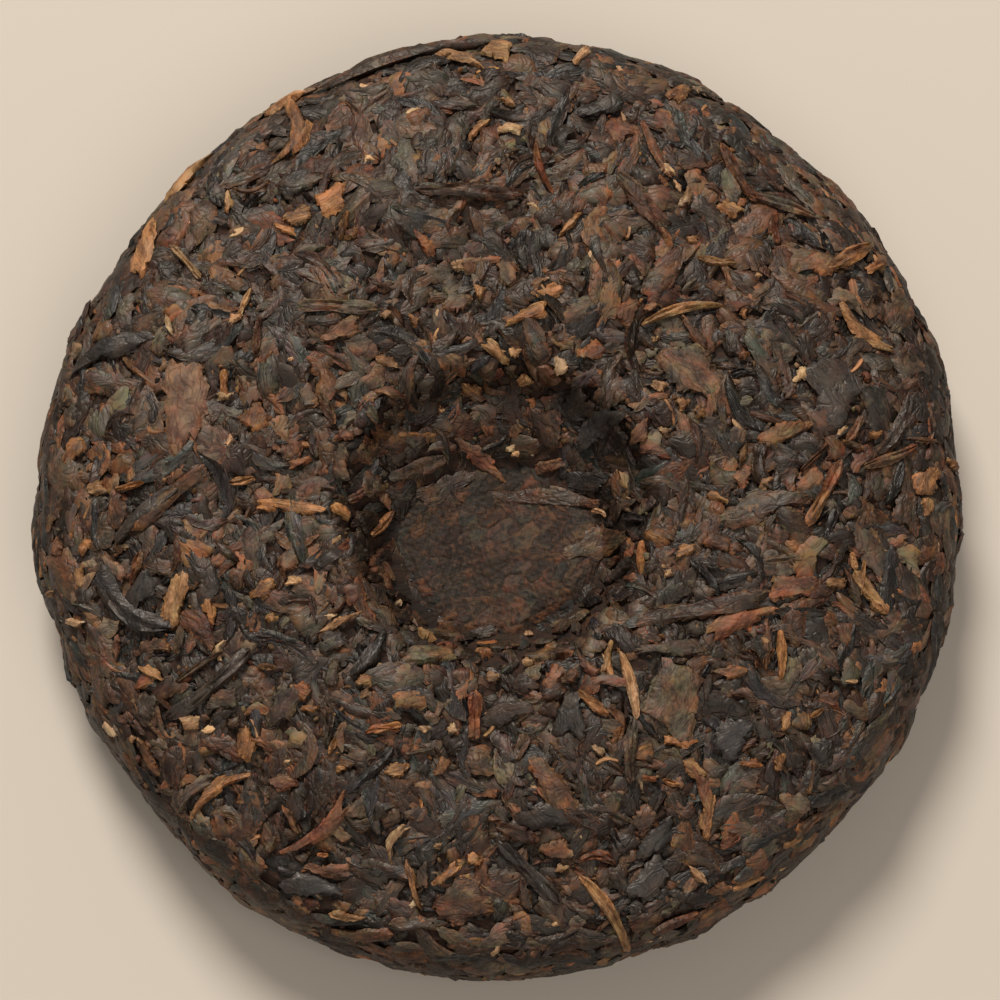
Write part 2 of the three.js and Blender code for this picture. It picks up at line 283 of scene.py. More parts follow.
def map_place(length, angle):
    """The place on the map at a length along the cross-section and an angle round the axis."""
    side = np.where(length < section_length / 2, 1, -1)
    distance = np.where(side > 0, length, section_length - length)
    return distance * np.cos(angle), distance * np.sin(angle), side


def skin_point(a, b, side):
    """Places on the skin. (a, b) is a flat map of it round the middle of the top or, where side
    is -1, round the middle below."""
    distance = np.hypot(a, b)
    angle = np.arctan2(b, a)
    length = np.where(side > 0, distance, section_length - distance)
    r = np.interp(length, lengths, radii)
    z = np.interp(length, lengths, heights)
    wave = sum(size * np.cos(n * (angle - math.radians(place))) for n, size, place in OUTLINE_WAVES)
    reach = r + wave * (r / CAKE_RADIUS) ** 2
    x = reach * np.cos(angle)
    y = reach * np.sin(angle)
    middle = CAKE_HEIGHT / 2
    lean = np.clip((z - middle) / middle, -1, 1)
    fade = np.where(side < 0, smooth_step(REST_RADIUS, REST_RADIUS + RELIEF_FADE, r), 1)
    swell = relief(x, y, z) * fade
    x = x + swell * (1 - abs(lean)) * np.cos(angle)
    y = y + swell * (1 - abs(lean)) * np.sin(angle)
    high = smooth_step(middle, UPPER_SHARE * CAKE_HEIGHT, z) * (side > 0)
    z = z + swell * lean - dimple_depth(x, y) * high
    return np.stack([x, y, np.maximum(z, 0)], -1)


def skin_frame(a, b, side):
    """Places on the skin with its slopes along the map's two directions, and its normals."""
    ahead = skin_point(a + SLOPE_STEP, b, side)
    slope_a = (ahead - skin_point(a - SLOPE_STEP, b, side)) / (2 * SLOPE_STEP)
    ahead = skin_point(a, b + SLOPE_STEP, side)
    slope_b = (ahead - skin_point(a, b - SLOPE_STEP, side)) / (2 * SLOPE_STEP)
    normal = np.cross(slope_a, slope_b) * np.asarray(side)[..., None]
    normal /= np.linalg.norm(normal, axis=-1, keepdims=True)
    return skin_point(a, b, side), slope_a, slope_b, normal


print("top of the skin at its middle in mm:", skin_point(0, 0, 1)[2].round(1))

# %% [markdown]
# Leaves in a pressed cake are of a few kinds. Flakes are torn bits of leaf, crumpled and then
# flattened. Strips are leaves that were rolled lengthwise. Stalks are round, and buds are slim.
# Crumbs fill the gaps. Each kind gets a handful of shapes, and the joined meshes repeat them. The
# shapes are two units long and wide and at most one high, so the numbers in them are shares of a
# leaf's half length, half width and height. Flakes and strips start from a grid, whose rim is at
# last extruded down and merged to one point. That closes it and leaves a thin edge with a dark gap
# under it. Planes would be simpler, but a leaf that stands off the cake shows its thickness.

# %% Closing a shape and reading it
def shape_arrays(shape):
    """A bmesh as arrays: corners, faces as one list of corner numbers, and each face's size."""
    bmesh.ops.recalc_face_normals(shape, faces=shape.faces)
    shape.verts.index_update()
    shape.normal_update()
    corners = np.array([vert.co for vert in shape.verts])
    sizes = np.array([len(face.verts) for face in shape.faces])
    loops = np.concatenate([[vert.index for vert in face.verts] for face in shape.faces])
    upward = np.repeat([face.normal.z > 0 for face in shape.faces], sizes)
    shape.free()
    return {"corners": corners, "loops": loops, "sizes": sizes, "upward": upward}


def close_below(shape):
    """Joins the rim to one point below, which is a leaf's root in the mass of the cake."""
    rim = [edge for edge in shape.edges if edge.is_boundary]
    lowered = bmesh.ops.extrude_edge_only(shape, edges=rim)["geom"]
    low = [item for item in lowered if isinstance(item, bmesh.types.BMVert)]
    bmesh.ops.pointmerge(shape, verts=low, merge_co=(0, 0, -1))


# %% [markdown]
# A flake is a bit of leaf torn in the piling, crumpled as it dried and then flattened. The grid's
# corners move at random, most of all on the rim, and each fold is a ridge along a random line.
# Cloth physics could crumple it too, but a few ridges are all that shows at this size.

# %% Flakes
def flake(rng, cells, folds=3, tear=0.17):
    """A torn bit of leaf with random folds across it."""
    shape = bmesh.new()
    bmesh.ops.create_grid(shape, x_segments=cells[0], y_segments=cells[1], size=1)
    lines = [(rng.uniform(0, math.pi), rng.uniform(-0.6, 0.6), rng.uniform(0.25, 0.6))
             for _ in range(folds)]
    phases = rng.uniform(0, 2 * math.pi, 3)
    lean = rng.uniform(-0.3, 0.3)
    for vert in shape.verts:
        x, y, _ = vert.co
        on_rim = vert.is_boundary
        round_x = x * math.sqrt(1 - 0.3 * y * y)
        round_y = y * math.sqrt(1 - 0.6 * x * x) * (1 + lean * x)
        angle = math.atan2(round_y, round_x)
        waves = sum(math.sin(n * angle + phases[n - 2]) for n in (2, 3, 4))
        torn = 1 + tear * waves * (abs(x) + abs(y)) / 2
        move = tear * (1.2 if on_rim else 0.7)
        vert.co.x = round_x * torn + rng.uniform(-move, move) * 0.5
        vert.co.y = round_y * torn + rng.uniform(-move, move)
        height = 0.42 + 0.2 * (1 - max(abs(x), abs(y)) ** 2) + rng.uniform(-0.13, 0.13)
        for turn, offset, width in lines:
            away = abs(vert.co.x * math.cos(turn) + vert.co.y * math.sin(turn) - offset)
            height += 0.42 * max(0, 1 - away / width)
        vert.co.z = min(height, 1) * (0.35 if on_rim else 1)
    close_below(shape)
    return shape_arrays(shape)


print("faces of a flake:", len(flake(np.random.default_rng(0), (7, 5))["sizes"]))

# %% [markdown]
# A strip is a leaf that was rolled lengthwise before it dried, so it has long ridges with creases
# between them, blunt ends and a slight sway. A bent tube could stand for it, but the press has
# flattened it, and a grid with ridges shows that.

# %% Strips
def strip(rng, cells, ridges=2, tear=0.1):
    """A leaf that was rolled lengthwise and pressed: long ridges with creases between them."""
    shape = bmesh.new()
    bmesh.ops.create_grid(shape, x_segments=cells[0], y_segments=cells[1], size=1)
    phases = rng.uniform(0, 2 * math.pi, 4)
    blunt = rng.uniform(0.25, 0.55)
    for vert in shape.verts:
        x, y, _ = vert.co
        width = 0.8 * max(1 - abs(x) ** 3, 0.0) ** blunt + 0.24
        sway = 0.22 * math.sin(1.7 * x + phases[0])
        width *= 1 + 0.16 * math.sin(4.1 * x + phases[1])
        bent = y + 0.3 * math.sin(2 * x + phases[2])
        ridge = abs(math.sin(ridges * math.pi * bent / 2 + phases[3]))
        height = 0.35 + 0.55 * ridge + rng.uniform(-0.12, 0.12)
        if vert.is_boundary:
            height *= 0.5
        move_x = rng.uniform(-tear, tear) * 0.5
        move_y = rng.uniform(-tear, tear)
        vert.co = (x + move_x, y * width + sway + move_y, height)
    close_below(shape)
    return shape_arrays(shape)


print("faces of a strip:", len(strip(np.random.default_rng(0), (9, 4))["sizes"]))

# %% [markdown]
# Stalks are round and tough, so the press leaves them whole: balls drawn out along their length.
# Crumbs are bits broken off everything else. A grid could be torn for them too, but they are so
# many and so small that a ball of 20 triangles does, with its corners moved at random.

# %% Stalks and crumbs
def stalk(rng, sides=6, rings=7, blunt=0.3):
    """A ball drawn out along its length, with a slight sway and uneven thickness."""
    shape = bmesh.new()
    bmesh.ops.create_uvsphere(shape, u_segments=sides, v_segments=rings, radius=1)
    bmesh.ops.rotate(shape, verts=shape.verts, matrix=Matrix.Rotation(math.pi / 2, 3, "Y"))
    phases = rng.uniform(0, 2 * math.pi, 2)
    for vert in shape.verts:
        x, y, z = vert.co
        fullness = max(1 - x * x, 1e-6) ** ((blunt - 1) / 2) if abs(x) < 0.999 else 1
        fullness *= 1 + 0.12 * math.sin(3 * x + phases[0]) + rng.uniform(-0.08, 0.08)
        vert.co = (x, y * fullness + 0.15 * math.sin(2.5 * x + phases[1]), z * fullness)
    return shape_arrays(shape)


def crumb(rng):
    """Broken bits between the leaves."""
    shape = bmesh.new()
    bmesh.ops.create_icosphere(shape, subdivisions=1, radius=1)
    for vert in shape.verts:
        vert.co *= rng.uniform(0.6, 1.15)
    return shape_arrays(shape)


print("faces of a crumb:", len(crumb(np.random.default_rng(0))["sizes"]))

# %% [markdown]
# Laying a leaf: the middle of the leaf goes to its place on the flat map, its length turns to its
# heading, and each corner then steps along the skin from there and stands off it by its height.
# So a leaf bends over the shoulder and into the dimple as a damp leaf does under the press. A
# Shrinkwrap could bend them too, but only object by object, while arrays work out all leaves of a
# kind at once. Four numbers go with each corner for the material: the leaf's tone, how near its
# rim the corner is, how high it stands, and the cast of the leaf's colour.

# %% Laying leaves on the skin
RIM_BAND = 0.75
LOWEST_SHOWN = -0.3
HIGHEST_RISE = 0.9
CAST_SCATTER = 3.7
GRAIN_SHIFT = 0.7


def lay(shape, leaves):
    """Corner positions and marks of every leaf that uses this shape."""
    x, y, z = shape["corners"].T
    side = leaves["side"][:, None]
    a = leaves["a"][:, None]
    b = leaves["b"][:, None]
    _, slope_a, slope_b, normal = skin_frame(leaves["a"], leaves["b"], leaves["side"])
    turn = leaves["turn"][:, None]
    along = slope_a * np.cos(turn) + slope_b * np.sin(turn)
    along /= np.linalg.norm(along, axis=-1, keepdims=True)
    across = np.cross(normal, along)
    u = x * leaves["long"][:, None] / 2
    v = y * leaves["wide"][:, None] / 2 + leaves["bend"][:, None] * (0.5 - x * x)
    w = np.where(z > 0, z * leaves["proud"][:, None], z * leaves["deep"][:, None])
    w = w + leaves["level"][:, None] + leaves["tip"][:, None] * u + leaves["roll"][:, None] * v
    move = along[:, None] * u[..., None] + across[:, None] * v[..., None]
    size_a = (slope_a**2).sum(-1)[:, None]
    size_b = (slope_b**2).sum(-1)[:, None]
    both = (slope_a * slope_b).sum(-1)[:, None]
    move_a = (slope_a[:, None] * move).sum(-1)
    move_b = (slope_b[:, None] * move).sum(-1)
    area = size_a * size_b - both * both
    step_a = (size_b * move_a - both * move_b) / area
    step_b = (size_a * move_b - both * move_a) / area
    place, _, _, out = skin_frame(a + step_a, b + step_b, side + 0 * step_a)
    points = place + out * w[..., None]
    points[..., 2] = np.maximum(points[..., 2], leaves["foot"][:, None])
    rim = smooth_step(RIM_BAND, 1, np.maximum(abs(x), abs(y))) + 0 * w
    rise_span = HIGHEST_RISE - LOWEST_SHOWN
    rise = np.clip(w - LOWEST_SHOWN, 0, rise_span) / rise_span
    cast = (leaves["grain"] * CAST_SCATTER) % 1
    marks = np.stack([leaves["tone"][:, None] + 0 * w, rim, rise, cast[:, None] + 0 * w], -1)
    start = leaves["grain"][:, None]
    grain = np.stack([u + start, v + start * GRAIN_SHIFT], -1)
    return points, marks, grain


# %% [markdown]
# The finish has to be baked to an image when the cake leaves Blender, so each leaf also needs a
# place of its own on a second map. Smart UV Project could find one, but it would cut each leaf up
# along its folds, and a plain table of cells with one leaf in each keeps it whole. The joined mesh
# is then filled from the arrays in one go.

# %% Joining leaves to one mesh
REACH_X = 1.12
REACH_Y = 1.4
CELL_HALF_X = 0.44
CELL_HALF_Y = 0.48
TOP_FROM = 0.3
TOP_SPAN = 0.68
UNDER_FROM = 0.02
UNDER_SPAN = 0.24
CELL_STRETCH = 1.45
SHARP_ANGLE = 58


def bake_cells(shape, places, columns, rows):
    """Each leaf's own cell on the bake map: its top above, its underside squeezed below."""
    x, y, _ = shape["corners"][shape["loops"]].T
    across = 0.5 + CELL_HALF_X * np.clip(x, -REACH_X, REACH_X) / REACH_X
    up = 0.5 + CELL_HALF_Y * np.clip(y, -REACH_Y, REACH_Y) / REACH_Y
    up = np.where(shape["upward"], TOP_FROM + TOP_SPAN * up, UNDER_FROM + UNDER_SPAN * up)
    column = places % columns
    row = places // columns
    return np.stack([(column[:, None] + across) / columns, (row[:, None] + up) / rows], -1)


def join_leaves(name, groups):
    """One mesh of all the leaves in (shapes, leaves) groups, each a copy of one of the shapes."""
    count = sum(len(leaves["a"]) for _, leaves in groups)
    wide = np.concatenate([leaves["wide"] for _, leaves in groups]).mean()
    long = np.concatenate([leaves["long"] for _, leaves in groups]).mean()
    columns = max(1, round(math.sqrt(count * CELL_STRETCH * wide / long)))
    rows = math.ceil(count / columns)
    parts = {key: [] for key in ("points", "marks", "grain", "loops", "sizes", "cells")}
    start = 0
    cell = 0
    for shapes, leaves in groups:
        pick = np.arange(len(leaves["a"])) % len(shapes)
        for number, shape in enumerate(shapes):
            chosen = pick == number
            if not chosen.any():
                continue
            points, marks, grain = lay(shape, {key: value[chosen] for key, value in leaves.items()})
            leaf_count, corner_count = points.shape[:2]
            first = start + np.arange(leaf_count)[:, None] * corner_count
            parts["points"].append(points.reshape(-1, 3))
            parts["marks"].append(marks.reshape(-1, 4))
            parts["grain"].append(grain.reshape(-1, 2))
            parts["loops"].append((first + shape["loops"]).ravel())
            parts["sizes"].append(np.tile(shape["sizes"], leaf_count))
            cells = bake_cells(shape, cell + np.arange(leaf_count), columns, rows)
            parts["cells"].append(cells.reshape(-1, 2))
            start += leaf_count * corner_count
            cell += leaf_count
    return mesh_object(name, {key: np.concatenate(value) for key, value in parts.items()})


def mesh_object(name, whole):
    """A mesh from arrays, with the grain map, the bake map and the marks."""
    mesh = bpy.data.meshes.new(name)
    mesh.vertices.add(len(whole["points"]))
    mesh.vertices.foreach_set("co", (whole["points"] * MM).ravel())
    mesh.loops.add(len(whole["loops"]))
    mesh.loops.foreach_set("vertex_index", whole["loops"])
    mesh.polygons.add(len(whole["sizes"]))
    mesh.polygons.foreach_set("loop_start", np.cumsum(whole["sizes"]) - whole["sizes"])
    mesh.update(calc_edges=True)
    grain_map = mesh.uv_layers.new(name="grain")
    grain_map.data.foreach_set("uv", whole["grain"][whole["loops"]].ravel())
    bake_map = mesh.uv_layers.new(name="OFBake")
    bake_map.data.foreach_set("uv", whole["cells"].ravel())
    marks = mesh.attributes.new("leaf_marks", "FLOAT_COLOR", "POINT")
    marks.data.foreach_set("color", whole["marks"].ravel())
    mesh.validate()
    mesh.shade_smooth()
    mesh.set_sharp_from_angle(angle=math.radians(SHARP_ANGLE))
    thing = link_object(name, mesh)
    triangles = sum(size - 2 for size in whole["sizes"])
    print(name, "triangles:", triangles)
    return thing


# %% [markdown]
# Some leaves catch the eye on the real cake: a russet flake on the left, curled golden buds near
# the rim, dark rolled strips. They are listed one by one and sorted by finish: slate and umber
# leaves, brown and russet ones, and the amber and straw-coloured buds and stalks. Luck could deal
# them as well, but then no leaf would lie where it lies on the real cake. Each row has the leaf's
# place on the flat map, its turn, its length, its width and, where it is curved, its sideways
# bend. The turn is in degrees and the rest in millimetres.

# %% Listed leaves
NAMED_LEAVES = {
    "slate": {"flake": [
        (-44.5, 16.5, 15, 9.3, 2.4, 0.8), (37, 12, -40, 7.3, 5.8), (-21, -43.5, -8, 6.2, 2.4),
        (16, -43, 35, 5.6, 3.2), (7.5, -25, 80, 5.5, 3.1), (25.5, -27.5, 40, 5.2, 3.4),
        (17, -38.5, 50, 5.5, 2.4), (-32.5, -11, 80, 4.2, 2.4), (-40.5, -11.5, 62, 5.5, 2.4),
        (4.5, -36, 0, 5.8, 2.9), (11, 43.5, 30, 5.5, 2), (8.5, 10, 45, 5.2, 3.4),
        (10.5, 7.5, 45, 6.3, 2.7), (13, 6, 50, 4.7, 2.2), (9.5, 2, -10, 5.2, 2.5),
        (0.5, -24.5, 10, 5.2, 3.1),
    ], "strip": [
        (-41.7, -12.6, -47, 10.8, 2.6, -2.2), (22.7, -22.2, 88, 3, 1), (15, -3, -20, 3, 1),
        (13.5, -8.5, 50, 4, 0.9), (-14.5, -18.5, 58, 6.3, 1.3, -0.6), (3, -42, -47, 9.5, 1.7),
        (-39.5, -2.5, 42, 9.7, 1.5, 0.4), (-32.5, -22, 38, 12, 1.5, -0.6),
        (52, -19.5, -66, 12.4, 2.2, -0.6), (27, 13, 10, 2.7, 0.8, 0.3),
    ]},
    "umber": {"flake": [
        (22.5, -13.5, 8, 14.4, 2.4), (-15, -48.5, 3, 6.6, 1.5), (-23, 35.5, 25, 5.3, 2.7),
        (18.6, 25, 45, 9, 2.8), (46, -2, 80, 4.4, 3.1), (29, -2, 15, 8.9, 3.5),
        (15.5, -36.5, 60, 3.1, 2.7), (-18.5, -17, 20, 3.5, 2.4), (-8.5, -42, 85, 3.3, 1.3),
        (1.5, -37.5, -25, 4.4, 2.2), (2.5, -44.5, -80, 3.3, 1.5), (5, 8, -70, 5.2, 3.4),
        (10.5, -5, 25, 6.2, 3.4), (4.5, 0.5, -5, 12, 2.2), (-6.5, 1.5, 25, 7, 2.6),
        (-2.5, -15, 25, 4.7, 1.5),
    ], "strip": [
        (-9.5, 3.5, 20, 7.4, 1.8), (-11, 50, 12, 21, 1.9, 0.6), (-3.6, 33.2, -4, 12, 1.7),
        (-37, -1, 42, 10.5, 1.7), (-33.5, -20, 32, 6.1, 0.7),
    ], "bud": [
        (39.5, -11, -64, 4.2, 1.3),
    ]},
    "brown": {"flake": [
        (21.5, 17.5, -53, 4.2, 1.3), (31.5, 6.5, 25, 5.8, 2.2), (19, -18, 4, 7.3, 1.7),
        (-34, -33.5, 36, 5, 1.5, 0.4), (-24, -24, 60, 5.5, 2.7), (32.5, -35, 10, 3.3, 2.7),
        (5.5, -33, -55, 6.9, 3.3), (32.5, -11, 10, 5, 2.8), (15.5, 32, -55, 6.6, 2),
        (-39.5, -24, 40, 3.1, 2.4), (-27.5, 8, 60, 3.3, 2.7), (-38.5, 17, 70, 2.8, 2.2),
        (24, -6, -20, 3.3, 1.8), (25.5, -20.5, 10, 3.3, 1.5), (-25.5, -39, 70, 2, 1.2),
        (24, -44, 10, 2.4, 1.4), (6, -39.5, 5, 3.3, 2.2), (-5, 21, 0, 2.8, 2.4),
        (-3, 11.5, -30, 2.4, 1.4), (10, 15.5, 30, 2.7, 2.2), (14, 20, 60, 3.1, 2.4),
        (27.5, -2.5, 15, 6.6, 1.5), (-43.5, -8.5, -55, 3.8, 1.3), (-39.5, -30, -58, 4.4, 1.1),
        (-38, -17.5, 0, 1.8, 1.7), (-31, -23.5, 10, 3.3, 2.2), (-18.5, -20.5, 70, 3.3, 1.5),
        (-22, -22.5, -30, 2.4, 1.7), (5.5, 4, 15, 3.6, 1.5), (-2.5, 5, -35, 7, 1.8),
        (11, -4, 0, 1.6, 1), (-8, -18.5, 0, 5.6, 2.2), (5, -18.5, 5, 5.2, 1.6),
        (21, 13.5, -50, 6.4, 5.8), (-4.5, -45, 5, 6.9, 4.4), (19, -23.5, 75, 8.3, 6.1),
        (45.5, 21.5, 60, 4.6, 3.8), (35.4, 25.9, 20, 4.5, 2.6), (0.7, 24.2, -60, 3.3, 2.4),
        (-23.7, -8.2, 80, 2.6, 2), (-43.1, -2.2, 80, 3.9, 2.3),
    ], "strip": [
        (26.5, 36.5, -55, 7.7, 1.2, -0.4), (31.5, 33, -16, 8.3, 1.2, 0.4),
        (36, -0.5, 63, 8.6, 1.3), (44, 4, 24, 7.3, 1.1, -0.4), (14, -29, -92, 7.3, 1.2, -0.4),
        (19, -47.5, 20, 5.8, 1.2, 0.3), (-18.5, 20.5, -3, 9.1, 1.4), (35, 3.5, 48, 4.6, 0.6),
        (28, -19, -60, 2.2, 0.7, 0.3), (29.5, -19, 70, 2.4, 0.7, 0.3),
        (10.5, -40.5, -8, 4.2, 1.1, 0.9), (-19.5, 9, -68, 3.8, 1.1), (-18, 3, -87, 4.1, 1.3),
        (-16.5, -0.5, 48, 3.1, 1.1), (-36, -17, 80, 3.3, 0.9), (-19, -26.5, 85, 4, 0.9),
        (-9, -29, 8, 3.3, 0.6), (15.5, 32.6, -42, 8, 1.6), (-40.7, -8.8, 75, 4, 1),
    ], "bud": [
        (32, 11, 60, 2, 1.1), (39.5, 5, -20, 2.2, 0.9), (-23, -36.5, -65, 2.9, 1),
        (-7, 21.5, 12, 2.7, 1.3),
    ]},
    "russet": {"flake": [
        (-35.5, 9.5, -86, 11.7, 4.6), (13.1, 40.8, -40, 3.6, 2.8), (-18, 18, 16, 4.4, 2),
        (-24, -32.5, 10, 3.3, 1.7), (25, -39, 30, 2.4, 1.4), (15.5, 6.5, 85, 2.4, 1.5),
        (27, 1.5, 50, 2.2, 1.8), (-50.5, -6, 75, 2.2, 1.4), (-1.5, -33.5, 5, 2.4, 0.9),
    ], "strip": [
        (17, 38.5, -65, 7.7, 1, -0.3), (4.5, 36, -72, 6.6, 0.9, -0.4),
        (22, -33.5, -75, 6.4, 1.2, 0.4), (-27.5, 17.5, 84, 4.6, 0.8), (39.5, 7, 60, 3.5, 0.9),
        (16, -32, -5, 1.7, 0.6), (-3, -25, 85, 5.5, 1.5), (30.9, 30.1, -86, 3.8, 0.8),
        (-13, -26.7, 10, 3.6, 0.8, 0.4),
    ], "bud": [
        (26.5, -15, 25, 7.1, 2.2, 0.6), (-20, -37, 42, 10.5, 1.4, -1.3),
        (-8.5, 27.5, -50, 3.8, 1.2), (41, 13, 0, 1.1, 1.1), (9.5, -20, -35, 2.8, 1.3),
        (7.5, -21, 40, 1.8, 1.4), (-12.5, 11, 0, 2.9, 1.1), (-17.5, 6, 0, 2.2, 1.3),
        (-22.5, 3, 25, 2.7, 0.9), (16.5, 20.5, 40, 1.5, 0.9), (4, 1, 0, 1.1, 0.9),
        (-18.9, -41.8, -5, 4.8, 1.7), (-43.5, -17.5, 85, 2.9, 0.9), (-17, -30.5, -10, 1.5, 1.1),
        (-6, -17.5, 0, 2.2, 0.9),
    ]},
    "amber": {"flake": [
        (-0.5, 50.5, -8, 3.5, 3.3), (20, 46, 40, 3.5, 1.7), (-11.5, -31, 5, 2.7, 1.5),
        (-36.5, -12.5, 80, 6.2, 2.4), (-48.5, 5, 60, 3.1, 2), (-28.5, -28, 80, 3.5, 1.5),
        (-13, 14.5, -14, 2.8, 1.2), (48.5, 1.5, 70, 3.3, 2.7), (48.5, -1.5, 85, 2.2, 1.2),
        (37.5, -10.5, -12, 2.4, 1.3), (31.5, -26, 80, 2, 1.2), (-28, -29, 80, 2.4, 1.5),
        (-18, -2.5, -50, 2.4, 1.4), (-26.5, -11.5, 30, 2.8, 1.8), (-6.5, -30.5, 70, 2.4, 1.4),
        (-3.5, 12, -30, 2.5, 1.9), (2.5, 13, 10, 1.6, 1.6), (-1, -21, 10, 1.6, 1.1),
        (-19, 33, 20, 3.8, 3.1), (-23, 31.5, 5, 3, 2.2), (-23, -2, -8, 6.9, 1.6),
        (21, -31, -40, 2.9, 1.5), (22.6, -36, 75, 4.6, 1.4),
    ], "strip": [
        (39.1, 27.2, 29, 6.8, 1.6), (24, 26, -8, 4.6, 0.9), (20, 20, 15, 9.4, 1, 0.7),
        (31, -18.5, -90, 5.5, 1), (10, -24, -38, 4.2, 1), (11.5, -46.5, -56, 10.7, 1.2, 0.7),
        (41.5, -11.5, -52, 6.1, 1.4), (-17.5, 30, 70, 3.5, 0.9), (-13.5, -3, 55, 5.3, 1),
        (-31, 12, 88, 3.3, 0.9), (-29, 1, 14, 3.1, 0.9), (-41.5, 0.5, 8, 3.5, 0.7),
        (12.5, -27.5, 58, 2.2, 0.9), (39.5, -8, -70, 2.2, 0.7), (40.5, -10, 85, 4.2, 0.6),
        (35, -25, 40, 1.8, 0.6), (-19.5, -40, 0, 1.3, 0.4), (18.5, -32.5, -16, 2, 0.6),
        (-26, -20, 0, 2.2, 0.7), (-18.5, -28.5, 75, 2, 0.7), (-12.5, -26.5, 18, 3.1, 0.8),
    ], "bud": [
        (-24, 42, 80, 8.5, 2.2, -2), (-41, 28.5, 85, 8, 2.5, 0.4), (-25.3, 46.2, 18, 5, 1.5),
        (-4.5, 49, -14, 5.1, 1.1, 0.6), (40.9, 18.7, -36, 7.5, 1.8, -0.8), (5.5, 22, 25, 2.7, 1.5),
        (3, 19.5, 22, 4.2, 1.5), (-36.8, 37.9, 55, 6.8, 1.8), (-45.5, 0.5, 0, 2, 1.8),
        (-26, -2, 0, 2, 1.1), (42, 6.5, 10, 1.7, 0.9), (53, 4, -10, 2.2, 0.9),
        (27, 4, 65, 2.2, 0.8), (18.5, -28, -10, 1.8, 1.1), (20.5, -7, 10, 2, 1.4),
        (42, -13, -30, 2, 1.3), (27.5, -30.5, 0, 2, 1), (30.5, -30.5, 85, 1.8, 1),
        (-17.5, -31, 0, 1.1, 0.9), (-17, -46.5, -4, 3.5, 0.9), (-10, 19, -30, 1.3, 1),
        (-2.5, 22, 70, 1.5, 1.2), (-0.5, 15.5, -32, 3.5, 1.1), (20, 9.5, -15, 1.5, 1.3),
        (22, 8.5, 60, 1.4, 1.2), (29.5, 0.5, 30, 1.7, 1.1), (24, -1, -30, 2.2, 1.1),
        (27, 15, 35, 1.3, 0.7), (27, 20, 70, 1, 0.9), (-32.5, -13.5, -85, 3, 1.2),
        (-25.5, -14.5, 20, 1.5, 1), (-39, -20.5, -28, 3.3, 1), (-47, -6, 75, 2.2, 1.2),
        (-47.5, -9.5, 85, 2.2, 0.9), (-15, -21.5, 20, 1.7, 1.3), (-21, -24.5, 0, 1.8, 0.9),
        (-2, -18, -6, 1.8, 0.8), (-9.5, -43, -75, 4.6, 1), (-6, -42, 42, 3.3, 1.1),
        (-3, -40.5, 20, 1.8, 1.3), (-8.5, -16, -30, 2.4, 0.7), (-24.6, 30.1, -28, 2.7, 0.9),
        (-31.1, 33.5, -80, 2.4, 1), (-16.8, 28.9, 0, 1.5, 1.3), (42.5, 26.4, 33, 2.8, 1.1),
        (25.6, 32.3, -20, 2.9, 1.6), (21.2, 28.3, 0, 1.4, 1), (7.6, 29.4, 50, 3, 0.8),
        (-2.7, 40.6, 45, 3, 1), (-31.5, -33.5, 38, 7.1, 1.4, 0.7),
    ]},
    "straw": {"flake": [
        (-34.5, -26, 10, 2.2, 1.7), (-45, -27, -40, 2.4, 1.2),
    ], "strip": [
        (14, -22, -80, 7.7, 1.2, 0.3), (11, -1.5, -24, 2.2, 0.6, 0.3), (-29, 21.5, 68, 3.5, 0.7),
        (-36, 26.7, -48, 5.5, 0.8), (8.8, 49.2, 55, 3, 0.9),
    ], "bud": [
        (1, 40.5, -10, 2.7, 1.3), (-11.5, -38.5, 62, 4.6, 1, 0.8), (6.5, 14, -70, 2, 1.3),
        (-5, 25, 0, 1.5, 1.3), (-18, -15, 28, 4.2, 1), (-37.5, 19, -75, 2.4, 0.6),
        (-31, 10.5, 5, 1.8, 0.9), (-30, 19.5, 0, 1.3, 1.1), (33.5, 13, 70, 1.8, 1.4),
        (18.5, -9.5, 0, 1, 0.8), (10.5, -29, -40, 1.5, 0.8), (39, -21.5, 0, 1.3, 0.6),
        (21.5, -42.5, -42, 2.9, 0.8), (6.5, -41.5, 0, 1.3, 0.9), (-13, 19.5, 60, 1.1, 0.9),
        (1.5, 15.5, 0, 1.3, 0.9), (1.5, 5.5, 0, 0.9, 0.9), (17.5, 11.5, -25, 1.5, 1.2),
        (17, 17, 0, 0.8, 0.7), (18, 6.5, -15, 1.5, 0.8), (-52, -11, 10, 1.2, 0.7),
        (-48.5, -14.5, -12, 2.4, 0.9), (-23, -10.5, 5, 2, 0.9), (-5.5, -26.5, 0, 1.1, 1),
        (-8.5, -26.5, -20, 1.2, 0.9), (3, -15, 0, 0.9, 0.9), (-7, -39, 0, 0.9, 0.7),
        (1, 6, 0, 1, 0.9), (3, -19.5, -10, 1.2, 0.8), (20.5, 33.3, 80, 2.2, 1.2),
        (0.7, 43.7, -25, 1.8, 0.8), (18.3, 36, -40, 1.6, 1.2),
    ]},
}

for kinds in NAMED_LEAVES.values():
    for kind, rows in kinds.items():
        kinds[kind] = [(*row, 0)[:6] for row in rows]
named_rows = [row for kinds in NAMED_LEAVES.values() for rows in kinds.values() for row in rows]
named_rows = np.array(named_rows)
print("leaves set by hand:", len(named_rows))

# %% [markdown]
# The other leaves are spread over the skin by the golden angle, as seeds are in a sunflower,
# which covers it evenly without rows. Near the rim the press turns them along it and holds them
# flat. A hair system could scatter the leaves too, but its copies don't bend with the skin. Two
# things have to be known of each place first: whether a leaf there would hide one of the listed
# leaves, and how steep the dimple is there.

# %% What a leaf's place asks of it
NAMED_ROOM = 0.2


